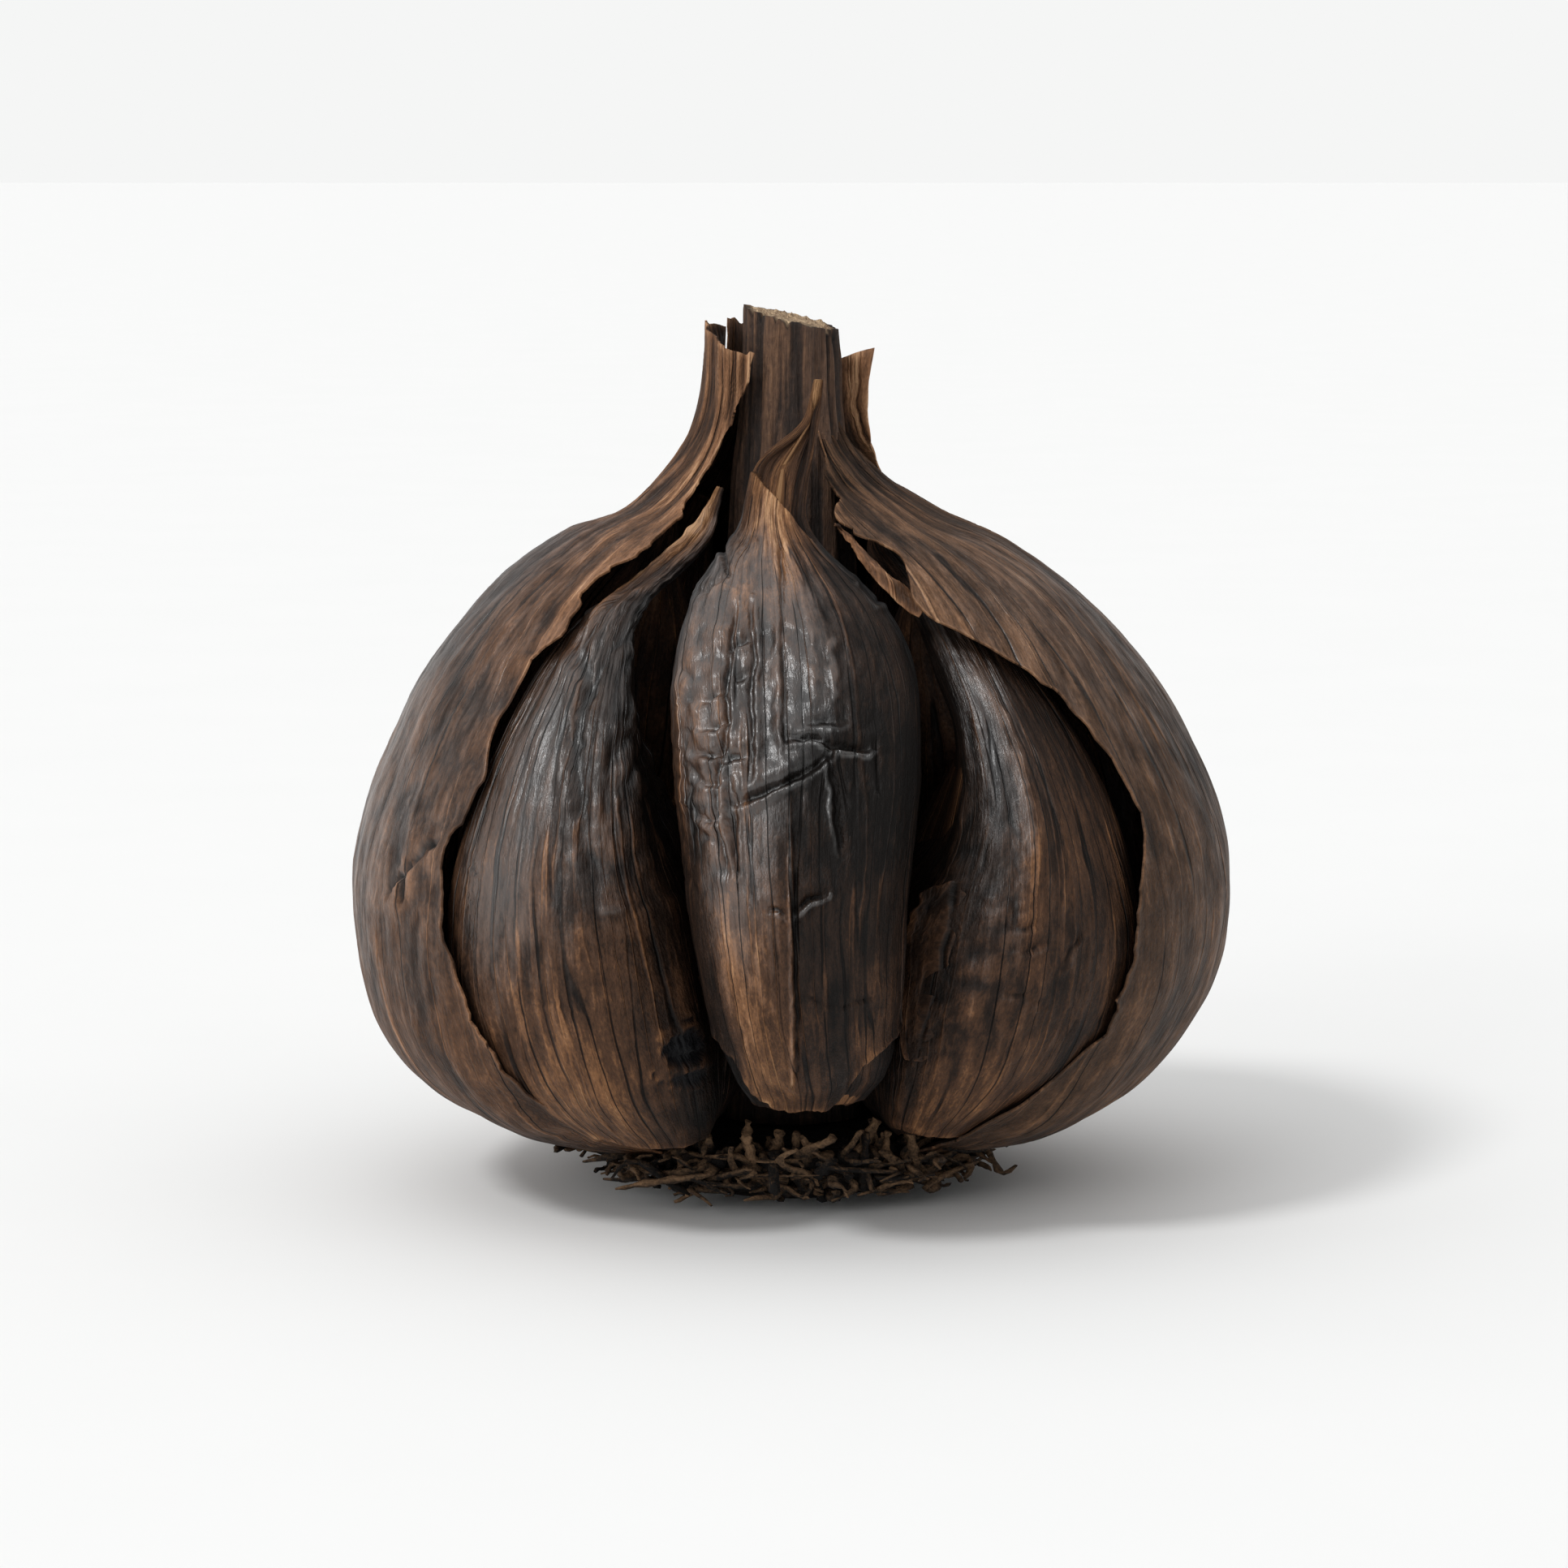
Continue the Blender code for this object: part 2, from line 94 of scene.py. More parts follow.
def value(numbers, share):
    """The same for plain numbers."""
    return curve(np.asarray(numbers, float)[:, None], np.asarray(share, float))[..., 0]


def smooth(x):
    """0 below 0, 1 above 1, and a soft step in between."""
    x = np.clip(x, 0, 1)
    return x * x * (3 - 2 * x)


def unit(vectors):
    """The same directions with a length of 1."""
    return vectors / (np.linalg.norm(vectors, axis=-1, keepdims=True) + 1e-9)


print("halfway through 0, 1, 4, 9:", value([0, 1, 4, 9], 0.5))

# %% [markdown]
# ## Noise for dried plant skin
# Nothing on a dried bulb is even. Gradient noise puts a repeatable random slope on every corner of a grid
# and blends smoothly in between. Adding it up at finer and finer steps gives natural swellings. Taking its
# absolute value gives rounded cushions with sharp valleys between them, which is exactly how crumpled
# leather looks.

# %% Noise
PRIMES = (73856093, 19349663, 83492791)
SEED_STEP, SCRAMBLE, LARGEST = 374761393, 668265263, 0x7FFFFFFF


def lattice(seed, *cells):
    """A repeatable random value from -1 to 1 for each whole-numbered cell."""
    mixed = np.full(np.shape(cells[0]), seed * SEED_STEP % LARGEST, np.int64)
    for prime, cell in zip(PRIMES, cells):
        mixed = (mixed ^ (cell * prime)) * SCRAMBLE & LARGEST
        mixed ^= mixed >> 15
    return (mixed & 0xFFFF) / 32767.5 - 1


def noise(seed, *places):
    """Smooth noise from about -1 to 1, with about one swell per unit of each place."""
    places = np.broadcast_arrays(*[np.asarray(p, float) for p in places])
    cells = [np.floor(p).astype(np.int64) for p in places]
    offsets = [p - c for p, c in zip(places, cells)]
    fades = [smooth(offset) for offset in offsets]
    total = np.zeros(places[0].shape)
    for corner in itertools.product((0, 1), repeat=len(places)):
        weight, slope = 1.7, 0.0
        for axis, side in enumerate(corner):
            weight = weight * (fades[axis] if side else 1 - fades[axis])
            corner_cells = (c + s for c, s in zip(cells, corner))
            slope = slope + lattice(seed + 500 * axis, *corner_cells) * (offsets[axis] - side)
        total += weight * slope
    return total


def layers(seed, count, *places, shape=np.positive):
    """Noise with finer noise on top, each layer twice as fine and half as strong."""
    return sum(shape(noise(seed + i, *(p * 2**i for p in places))) / 2**i for i in range(count))


def cushions(seed, count, *places):
    """Rounded bumps from 0 up, with sharp valleys between them."""
    return layers(seed, count, *places, shape=abs)


print("a few noise values:", noise(1, np.array([0.1, 0.6, 1.4]), 0.5).round(2))

# %% [markdown]
# ## Shader maths that reads like maths
# A material in Blender is a graph of nodes. Building it by hand takes many lines, so one small class wraps
# a node's output. With it, `1 - mask * 0.5` adds the Math nodes by itself. Colours and vectors need other
# nodes, because a Math node would turn a colour grey, so those go through `node`, the one method that adds
# any node: first its settings, then the values or links of its sockets.

# %% Wires
class Wire:
    """An output socket in a material, which can be used in an expression."""

    def __init__(self, tree, socket=None):
        self.tree, self.socket = tree, socket

    def node(self, kind, settings=None, sockets=None, output=0):
        """Adds a node, sets it up, fills or links its sockets, and gives one of its outputs."""
        made = self.tree.nodes.new("ShaderNode" + kind)
        for name, setting in (settings or {}).items():
            if name == "stops":
                fill_ramp(made.color_ramp, setting)
            else:
                setattr(made, name, setting)
        for name, content in (sockets or {}).items():
            if isinstance(content, Wire):
                self.tree.links.new(content.socket, made.inputs[name])
            else:
                made.inputs[name].default_value = content
        return Wire(self.tree, made.outputs[output] if made.outputs else None)

    def math(self, operation, *values):
        return self.node("Math", {"operation": operation}, dict(enumerate(values)))

    def __add__(self, other):
        return self.math("ADD", self, other)

    def __sub__(self, other):
        return self.math("SUBTRACT", self, other)

    def __rsub__(self, other):
        return self.math("SUBTRACT", other, self)

    def __mul__(self, other):
        return self.math("MULTIPLY", self, other)

    __radd__, __rmul__ = __add__, __mul__

    def between(self, low, high):
        """0 up to low, 1 from high on, and a soft step in between."""
        settings = {"interpolation_type": "SMOOTHSTEP"}
        return self.node("MapRange", settings, {"Value": self, "From Min": low, "From Max": high})

    def mixed(self, first, second):
        """The first colour where this wire is 0, and the second where it is 1."""
        return self.node("Mix", {"data_type": "RGBA"}, {0: self, 6: first, 7: second}, 2)


print("a wire's methods:", [name for name in vars(Wire) if not name.startswith("_")])

# %% [markdown]
# ### Colours as they are seen
# Blender works in linear light, while a colour is easiest to judge as a screen shows it. One function turns
# the second into the first, and another fills a colour ramp with such colours.

# %% Colours
def shade(red, green, blue):
    """A colour given as it is seen on a screen (0 to 255), as the linear colour that Blender works in."""
    seen = [level / 255 for level in (red, green, blue)]
    return (*(c / 12.92 if c <= 0.04045 else ((c + 0.055) / 1.055) ** 2.4 for c in seen), 1.0)


def fill_ramp(ramp, stops):
    """Sets a colour ramp from a dictionary of screen colours by place."""
    while len(ramp.elements) < len(stops):
        ramp.elements.new(1.0)
    for element, (place, seen) in zip(ramp.elements, stops.items()):
        element.position, element.color = place, shade(*seen)


print("mid grey is", round(shade(128, 128, 128)[0], 3), "in linear light")

# %% [markdown]
# ## Grain that follows the plant
# Every fibre of a garlic leaf runs from the root to the tip, and the fibres crowd together at both ends. So
# each mesh below carries a `grain` value at every point: its place on a tube of one fixed width, with the
# length along the leaf as the third number. A noise texture that is stretched along that third number draws
# fibres, and they narrow towards the neck by themselves because the tube never does. The meshes also carry
# a few painted values, from 0 to 1, that say where a surface is torn, brown, grey, shiny or bare, and where
# its hollows get painted shade. Where a mesh lacks one, it counts as 0.

# %% Textures that follow the grain
def start(name):
    """A new material and the first wire in it."""
    material = bpy.data.materials.new(name)
    material.use_nodes = True
    material.node_tree.nodes.clear()
    return material, Wire(material.node_tree)


def painted(wire, name):
    """A value that the mesh carries."""
    return wire.node("Attribute", {"attribute_name": name}, output=2)


def stretched(vector, across, along):
    """A vector with its fibres made this wide and this long, in millimetres."""
    size = (1 / across, 1 / across, 1 / along)
    return vector.node("VectorMath", {"operation": "MULTIPLY"}, {0: vector, 1: size})


def grainy(vector, across, along, detail=3.0, roughness=0.55):
    """Noise around 0 with swells of this size, in millimetres."""
    place = stretched(vector, across, along)
    sockets = {"Vector": place, "Scale": 1.0, "Detail": detail, "Roughness": roughness}
    return vector.node("TexNoise", None, sockets) - 0.5


def wavering(wire, size, reach):
    """The mesh's grain, bent a little from side to side so that no fibre runs dead straight."""
    grain = wire.node("Attribute", {"attribute_name": "grain"}, output=1)
    bend = grain.node("TexNoise", None, {"Vector": stretched(grain, size, size * 1.5), "Scale": 1.0}, 1)
    centred = bend.node("VectorMath", {"operation": "SUBTRACT"}, {0: bend, 1: (0.5, 0.5, 0.5)})
    return grain.node("VectorMath", {"operation": "MULTIPLY_ADD"}, {0: centred, 1: (reach,) * 3, 2: grain})


def ridge_lines(field, width):
    """Thin lines where a noise field crosses 0: 1 on the line, 0 away from it."""
    return 1 - field.math("ABSOLUTE", field).between(0.0, width)


print("made:", [tool.__name__ for tool in (start, painted, stretched, grainy, wavering, ridge_lines)])

# %% [markdown]
# ### Lumps, and the shader at the end
# The root plate, the roots, the flesh and the floor have no grain, so their noise is the same in all
# directions. Every finish ends in Principled shaders, whose bump turns noise into a surface that catches
# the light.

# %% Lumps and shaders
def lumps(wire, per_mm, detail, roughness=0.5):
    """Noise with the same swells in all directions, for pieces without a grain."""
    place = wire.node("TexCoord", output=3)
    sockets = {"Vector": place, "Scale": per_mm / MM, "Detail": detail, "Roughness": roughness}
    return wire.node("TexNoise", None, sockets)


def surface(wire, colour, roughness, height, depth, specular=0.5):
    """A Principled shader with a bump of this depth in millimetres."""
    bump = wire.node("Bump", None, {"Height": height, "Distance": depth * MM, "Strength": 1.0})
    sockets = {"Base Color": colour, "Roughness": roughness, "Normal": bump, "Specular IOR Level": specular}
    return wire.node("BsdfPrincipled", None, sockets)


def finished(material, shader):
    """Ends a material with this shader."""
    shader.node("OutputMaterial", None, {"Surface": shader})
    return material


print("a bump 0.3 mm deep is", round(0.3 * MM, 6), "m deep to Blender")

# %% [markdown]
# ## Dried skin
# Leaves and clove skins are one kind of material: a thin brown hide that shows its fibres. It isn't striped
# like wood. Most of its variety is mottling and a sandy fineness, and only a few thin dark cracks and pale
# fibres run along it. A colour ramp turns the sum into browns. Where the skin is grey with soot, a second
# pair of colours takes over.
#
# Most of it is dull, but where it sticks to the flesh it shines like satin. A single shader would have to
# reflect the pale studio everywhere, which lays a grey veil over the dark browns. So a dull shader and a
# shiny one are mixed by how much the skin shines at each spot, and the shiny one has a smoother bump,
# because fine grit would break its highlights up into dots.

# %% The dried skin finish
SOOT, ASH, BARE_FLESH = shade(24, 24, 25), shade(92, 91, 91), shade(20, 20, 22)
DULL_BUMP, SHINY_BUMP = 0.30, 0.22  # in mm
CRACK_WIDTH, FIBRE_WIDTH = 0.016, 0.024  # as a difference in the noise


def dried_skin(name, tones, spacing, specular):
    """Tones are the browns from hollow to bleached. Spacing is the distance between cracks in millimetres."""
    material, wire = start(name)
    grain = wavering(wire, 6.0, 1.0)
    bands = grainy(grain, 1.3 * spacing, 11 * spacing, 2.0)
    streaks = grainy(grain, 0.3 * spacing, 4 * spacing, 4.0, 0.6)
    mottle = grainy(grain, 0.9, 2.2, 5.0, 0.65)
    blotches = grainy(grain, 3.4, 6.5, 4.0, 0.6)
    speckle = grainy(grain, 0.17, 0.3, 2.0)
    patches = grainy(grain, 4.0, 8.0, 1.0).between(-0.08, 0.08)
    cracks = ridge_lines(grainy(grain, 1.3 * spacing, 34 * spacing, 0.5), CRACK_WIDTH) * (patches * 0.7 + 0.3)
    fibres = ridge_lines(grainy(grain, spacing, 60 * spacing, 0.5), FIBRE_WIDTH) * (1 - patches * 0.6)
    edge, gloss = painted(wire, "edge"), painted(wire, "gloss")
    tone = painted(wire, "warmth") + bands * 0.36 + streaks * 0.36 + mottle * 0.62 + blotches * 0.60
    tone = tone + speckle * 0.35 + fibres * 0.24 - cracks * 0.34 + edge * 0.30
    # Hollows are painted darker as shade, and the inner side of a sheet is painted a little darker too.
    tone = tone - painted(wire, "hollow") * 0.35 - painted(wire, "inside") * 0.2
    brown = wire.node("ValToRGB", {"stops": tones}, {"Fac": tone})
    grey = (tone + 0.1).between(0.0, 0.9).mixed(SOOT, ASH)
    sooty = painted(wire, "grey") + blotches * 0.9 + mottle * 0.5 + bands * 0.4 - edge * 0.5
    sooty = sooty.between(0.42, 0.85) * 0.85
    colour = painted(wire, "bare").mixed(sooty.mixed(brown, grey), BARE_FLESH)
    swell = (bands * 0.5 + streaks * 0.35) * (1 - gloss * 0.85)
    swell = swell + (mottle * 0.6 + blotches * 0.9) * (1 - gloss * 0.45)
    gritty = swell + speckle * (0.24 - gloss * 0.12) + fibres * 0.4 - cracks * 0.6
    dullness = 0.56 - mottle * 0.30 + speckle * 0.25 - streaks * 0.15
    dull = surface(wire, colour, dullness, gritty, DULL_BUMP, specular)
    satin = swell + speckle * 0.17 + fibres * 0.3 - cracks * 0.6
    shiny = surface(wire, colour, 0.33 + speckle * 0.2, satin, SHINY_BUMP, 1.0)
    shine = (gloss * 1.35 + mottle * 0.9 + streaks * 0.6).between(0.26, 1.0)
    return finished(material, wire.node("MixShader", None, {0: shine, 1: dull, 2: shiny}))


left_leather = dried_skin("leaf_leather_left", {
    0.00: (15, 10, 7), 0.28: (48, 32, 22), 0.50: (86, 59, 40), 0.72: (132, 94, 66), 1.00: (190, 148, 112),
}, 2.2, 0.18)
# The right leaf's finish is a darker copy of the left one's: partly its own colour, partly painted shade.
shaded_right_leather = dried_skin("leaf_leather_right_shaded", {
    0.00: (12, 9, 7), 0.28: (40, 28, 20), 0.50: (74, 53, 38), 0.72: (116, 84, 60), 1.00: (172, 134, 102),
}, 2.0, 0.15)
skin_leather = dried_skin("clove_skin_leather", {
    0.00: (12, 8, 6), 0.25: (38, 26, 19), 0.50: (76, 52, 36), 0.72: (126, 88, 58), 1.00: (190, 146, 104),
}, 1.6, 0.15)
print("dried skin finishes:", left_leather.name, shaded_right_leather.name, skin_leather.name)

# %% [markdown]
# ## From a round bulb to this one
# All leaves and cloves are designed on an ideal bulb that is perfectly round. A real one stands a little
# crooked. Working on the ideal form and bending it last keeps every piece in step with the others: the
# right shoulder sinks a little, and the neck leans left and back.

# %% Settle
TILT = [0.0, 0.038, 0.012, -0.004, -0.018, -0.032, -0.045, -0.050, -0.050]
TILT_FROM, TILT_TO = 3, 59
NECK_LEAN = np.array([-0.85, 0.4, 0.0])
NECK_FROM, NECK_TO = 43, 49


def on_circle(azimuth, radius, height):
    """A point from its azimuth (degrees, 0 in front, 90 on the right), distance from the axis and height."""
    turn = np.radians(azimuth)
    return np.stack(np.broadcast_arrays(radius * np.sin(turn), -radius * np.cos(turn), height), -1)


def settle(points):
    """Gives points of the ideal bulb their places on the real one."""
    x, z = points[..., 0], points[..., 2]
    moved = points + NECK_LEAN * smooth((z - NECK_FROM) / (NECK_TO - NECK_FROM))[..., None]
    moved[..., 2] += x * value(TILT, (z - TILT_FROM) / (TILT_TO - TILT_FROM))
    return moved


print("a point 25 mm to the right and 20 mm up settles at", settle(np.array([25.0, 0, 20])).round(2))

# %% [markdown]
# ## From grids to meshes
# Every piece starts as a grid of points, with rows that run up and columns that run round to the right.
# Quads between neighbouring points make the surface. A mesh is shaded smoothly, apart from the faces of its
# rims, which stay flat so that torn edges and cut ends are crisp. Each new piece says which body it rides
# on, which finish it shows and which part of the solid model it stands for.

# %% Pieces
def facing(grid, ring=False):
    """The outward direction at every point of a grid; on a ring, the last column is next to the first."""
    wide = np.concatenate([grid[:, -1:], grid, grid[:, :1]], 1) if ring else grid
    across = np.gradient(wide, axis=1)
    across = across[:, 1:-1] if ring else across
    return unit(np.cross(across, np.gradient(grid, axis=0)))


def quads(index):
    """The quads between neighbouring points of a grid of point numbers."""
    return np.stack([index[:-1, :-1], index[:-1, 1:], index[1:, 1:], index[1:, :-1]], -1).reshape(-1, 4)


def ring_index(rows, columns):
    """A grid of point numbers with its first column repeated at the end."""
    index = np.arange(rows * columns).reshape(rows, columns)
    return np.hstack([index, index[:, :1]])


def new_piece(name, points, faces, rims, paint, material, slot, replaced=()):
    """A piece from points in mm, smooth faces, flat rims and a dictionary of painted values."""
    mesh = bpy.data.meshes.new(name)
    every_face = faces.tolist() + [rim.tolist() for rim in rims]
    mesh.from_pydata((np.reshape(points, (-1, 3)) * MM).tolist(), [], every_face)
    mesh.polygons.foreach_set("use_smooth", [True] * len(faces) + [False] * len(rims))
    for label, values in paint.items():
        kind, field = ("FLOAT_VECTOR", "vector") if label == "grain" else ("FLOAT", "value")
        mesh.attributes.new(label, kind, "POINT").data.foreach_set(field, values.astype(np.float32).ravel())
    mesh.materials.append(material)
    piece = bpy.data.objects.new(name, mesh)
    bpy.context.scene.collection.objects.link(piece)
    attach(piece, "root")
    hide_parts(*replaced)
    print(f"{name}: {sum(len(face) - 2 for face in every_face)} triangles")


def new_tube(name, points, *rest):
    """A piece from rows of points round it, closed by a lid at each end."""
    index = ring_index(*points.shape[:2])
    new_piece(name, points, quads(index), [index[0, :-1][::-1], index[-1, :-1]], *rest)


print("a ring of 3 x 4 points has", len(quads(ring_index(3, 4))), "quads")

# %% [markdown]
# ## A sheet with two sides
# Leaves are thin, but they aren't paper-thin planes: their torn edges catch the light. Blender's Solidify
# modifier could thicken a surface, with a vertex group to thin it towards its torn rims. Here the points
# are NumPy grids anyway, so the inner side is a second grid, moved in by the thickness at each spot, and a
# rim of quads joins the two all round.

# %% Two-sided sheets
def chain(loop, count):
    """A rim of quads along a loop of points, to the same points in the layer that starts at count."""
    a, b = loop[:-1], loop[1:]
    return np.stack([b, a, a + count, b + count], -1)


def new_sheet(name, outer, inner, paint, material, replaced):
    """A closed piece from the grids of its two sides; paint is a dictionary of values on the outer one."""
    rows, columns = outer.shape[:2]
    count = rows * columns
    index = np.arange(count).reshape(rows, columns)
    sides = np.vstack([quads(index), quads(index)[:, ::-1] + count])
    borders = (index[0], index[:, -1], index[-1][::-1], index[::-1, 0])
    rims = np.vstack([chain(loop, count) for loop in borders])
    both = {label: np.stack([values, values]) for label, values in paint.items()}
    both["inside"] = np.repeat([0.0, 1.0], count)
    new_piece(name, np.stack([outer, inner]), sides, rims, both, material, "wrapper_leaf", [replaced])


print("a strip of 4 points has a rim of", len(chain(np.arange(4), 4)), "quads along each side")

# %% [markdown]
# ## Paint by numbers
# Where a skin is brown, sooty, glossy or crumpled follows the plant: it changes round the clove and along
# it. A small table of numbers from 0 to 9, one group per step from root to tip, one digit per step round
# the piece, says it at a glance. The curves above blend it smoothly, and noise in the materials breaks it
# up. An image would be the usual choice for this, but a table can be read and changed in the script.

# %% Tables of paint
def paint_table(table, across, along):
    """The value (0 to 1) at shares across and along a table, given as groups of digits from root to tip."""
    across, along = np.broadcast_arrays(across, along)
    rows = np.array([[int(digit) for digit in row] for row in table.split()], float) / 9
    levels = curve(rows, along)
    place = np.clip(across, 0, 1) * (rows.shape[1] - 1)
    i = np.minimum(place.astype(int), rows.shape[1] - 2)
    low, high = (np.take_along_axis(levels, i[..., None] + step, -1)[..., 0] for step in (0, 1))
    return np.clip(low + (high - low) * smooth(place - i), 0, 1)


print("the middle of a 2 x 2 table 09 / 09 is", paint_table("09 09", 0.5, 0.5).round(2))

# %% [markdown]
# ## Lines and tears
# Creases, splits and folds are drawn as lines on a piece, so the distance to a line is needed, and the side
# of it that a point lies on. A dried leaf's edge tears in long waves, with sharp notches where fibres gave
# way. Its wander is the sum of a slow swing and two sizes of notches. It is given in millimetres, so that
# it looks the same at the wide middle and at the narrow neck.

# %% Lines and tears
def line_distance(across, height, path):
    """How far each point is from a line of (across, height) points, and 1 or -1 for its right or left."""
    nearest, hand = np.full(np.shape(across), 1e9), np.ones(np.shape(across))
    for (x1, y1), (x2, y2) in zip(path, path[1:]):
        run, rise = x2 - x1, y2 - y1
        along = np.clip(((across - x1) * run + (height - y1) * rise) / (run**2 + rise**2), 0, 1)
        distance = np.hypot(across - x1 - along * run, height - y1 - along * rise)
        right = np.where(run * (height - y1) - rise * (across - x1) < 0, 1.0, -1.0)
        hand = np.where(distance < nearest, right, hand)
        nearest = np.minimum(nearest, distance)
    return nearest, hand


def bump_at(distance, width):
    """1 on a line, and softly down to 0 at about twice this width from it."""
    return np.exp(-((distance / width) ** 2))


def ragged(seed, place):
    """How far a torn edge wanders, in mm, at places along it that are given in mm."""
    large, small = (0.25 - abs(noise(seed + i, place / size, 0.5)) for i, size in ((1, 2.6), (2, 0.9)))
    notched = smooth(0.5 + 1.6 * noise(seed + 3, place / 5.0, 0.5))
    return 0.6 * noise(seed, place / 7.0, 0.5) + (0.8 * large + 0.5 * small) * notched


print("a torn edge's wander at 0, 1 and 2 mm:", ragged(4, np.array([0.0, 1, 2])).round(2))

# %% [markdown]
# ## The wrapper leaves: outline
# The bulb's outermost skins are three dry leaves. All three lie on one turned outline that runs from the
# root plate over the belly and up the neck. The solid model uses the same outline, so the fine leaves fit
# round its cloves. A place on a leaf is an azimuth and a share of the outline's length. Dried, the neck is
# a little slimmer than the solid one.

# %% The leaves' common ground
WRAPPER_OUTLINE = [
    (12.3, 3.1), (18.8, 4.6), (24.6, 7.9), (28.6, 13.3), (30.05, 20.5), (28.9, 27.2), (25.4, 34.6),
    (20.4, 40.9), (15.3, 44.7), (10.6, 46.9), (7.2, 49.6), (5.4, 53.6), (5.0, 59.6),
]
NECK_SLIMMED, WRAPPER_RIB, RIBS = 1.0, 0.12, 8
GRAIN_TUBE = 24.0
steps = curve(WRAPPER_OUTLINE, np.linspace(0, 1, 400))
leaf_length = np.linalg.norm(np.diff(steps, axis=0), axis=1).sum()
print("a leaf is", round(leaf_length, 1), "mm long from the root plate to the end of the neck")


def leaf_ground(azimuth, share, inset):
    """Points on the leaves' outside, or inset below it, on the ideal bulb."""
    azimuth, share = np.broadcast_arrays(azimuth, share)
    on_the_right = smooth(0.5 + 0.6 * np.sin(np.radians(azimuth)))
    inset = inset + NECK_SLIMMED * smooth((share - 0.76) / 0.2) * on_the_right
    outline = curve(WRAPPER_OUTLINE, share)
    run = unit(curve(WRAPPER_OUTLINE, share + 0.01) - curve(WRAPPER_OUTLINE, share - 0.01))
    rib = WRAPPER_RIB * np.cos(np.radians(azimuth) * RIBS) * np.sin(np.pi * share)
    radius = outline[..., 0] - inset * run[..., 1] + rib
    return on_circle(azimuth, radius, outline[..., 1] + inset * run[..., 0])


def on_tube(azimuth, share):
    """A place on a leaf in millimetres: round a tube of one width, and along the leaf."""
    return np.radians(azimuth) * GRAIN_TUBE, share * leaf_length


# %% [markdown]
# ## The wrapper leaves: relief
# Drying draws a leaf in between its veins. On the belly that gives slow swells, shallow furrows and, in
# places, fine crumples. At the neck the same width of leaf has to fit round a stalk a fifth as wide, so it
# gathers into pleats. All of these are moves of the grid's points along their outward direction, because a
# bump map alone would leave the outline smooth.

# %% Leaf relief
def leaf_relief(seed, around, along, share, crumple):
    """The slow swells of a leaf and its furrows, in mm, as two grids."""
    bend = 0.9 * noise(seed + 40, around / 9, along / 11)
    neck = smooth((share - 0.56) / 0.22)
    swells = 0.36 * layers(seed, 2, around / 13, along / 17)
    ridges = 0.16 * (cushions(seed + 10, 2, (around + bend) / 3.4, along / 40) - 0.45) * (1 - neck)
    pleats = 0.46 * neck * (cushions(seed + 20, 3, (around + bend) / 5.6, along / 34) - 0.6)
    folds = 0.42 * crumple * (cushions(seed + 30, 3, (around + 2 * bend) / 3.4, (along + bend) / 3.0) - 0.6)
    dents = 0.10 * layers(seed + 60, 2, around / 2.8, along / 5) * (1 - 0.5 * neck)
    return swells, ridges + pleats + folds + dents


sample = [round(float(part), 2) for part in leaf_relief(3, 10.0, 30.0, 0.5, 0)]
print("a swell and a furrow on a leaf's belly, in mm:", sample)

# %% [markdown]
# ## The wrapper leaves: grids
# A leaf's grid runs between two torn edges and up to a torn top. Its columns are crowded towards the edge
# that shows in the opening, where the tears need them. Near that edge the leaf gets thinner and bends in,
# so that it hugs the cloves and leaves only a thin dark gap. The paint tables are read between two
# azimuths, from the root to the tip.

# %% Make a leaf
LEAF_THICKNESS, RIM_THICKNESS = 0.5, 0.15
HUG_REACH, LIP_REACH, LIP_HEIGHT = 3.2, 0.4, 0.10


def make_leaf(label, edges, top, seed, grid, shown, hug, view, tables, material, inset=(0, 0), changes=None):
    """shown is 1 if the last edge lies in the opening and 0 if the first does. Lists run from root to tip."""
    columns, rows = grid
    x, up = np.linspace(0, 1, columns)[None, :], np.linspace(0, 1, rows)[:, None]
    crowded = 0.4 * x + 0.6 * (1 - (1 - x) ** 2 if shown else x**2)
    degrees = np.degrees(1.0) / np.linalg.norm(leaf_ground(0.0, up, 0.0)[..., :2], axis=-1)  # in a millimetre
    calm = 1.4 - 0.95 * smooth((up - 0.7) / 0.12)
    first = value(edges[0], up) - calm * ragged(seed, up * leaf_length) * degrees
    last = value(edges[1], up) + calm * ragged(seed + 5, up * leaf_length) * degrees
    azimuth = first + (last - first) * crowded
    teeth = 0.8 * ragged(seed + 9, on_tube(azimuth, 0)[0] / 3.5) / leaf_length
    share = up * value(top, crowded) + teeth * up**10
    around, along = on_tube(azimuth, share)
    seen = (azimuth - view[0]) / (view[1] - view[0])
    paint = {name: paint_table(table, seen, share) for name, table in tables.items()}
    swells, furrows = leaf_relief(seed, around, along, share, paint.pop("crumple"))
    from_first, from_last = (azimuth - first) / degrees, (last - azimuth) / degrees
    from_shown = from_last if shown else from_first
    border = np.minimum(np.minimum(np.minimum(from_first, from_last), (1 - up) * leaf_length), 3.0)
    relief = swells * np.clip(from_shown / 6 + 0.2, 0, 1) + furrows
    relief = relief - value(hug, share) * bump_at(from_shown, HUG_REACH)
    relief = relief + LIP_HEIGHT * bump_at(from_shown, LIP_REACH)
    flaky = 0.6 + 0.4 * noise(seed + 50, along / 3, around / 3)
    # The furrows are painted darker as shade.
    paint.update(edge=np.exp(-border / 0.28) * flaky, hollow=smooth(-furrows / 0.30))
    if changes:
        relief = changes(azimuth, share, relief, paint)
    ground = leaf_ground(azimuth, share, value(inset, share))
    outer = ground + facing(ground) * relief[..., None]
    thickness = RIM_THICKNESS + (LEAF_THICKNESS - RIM_THICKNESS) * smooth(border / 1.6)
    inner = outer - facing(outer) * thickness[..., None]
    paint["grain"] = on_circle(azimuth, GRAIN_TUBE, along)
    new_sheet(f"leaf_{label}", settle(outer), settle(inner), paint, material, f"wrapper_{label}")


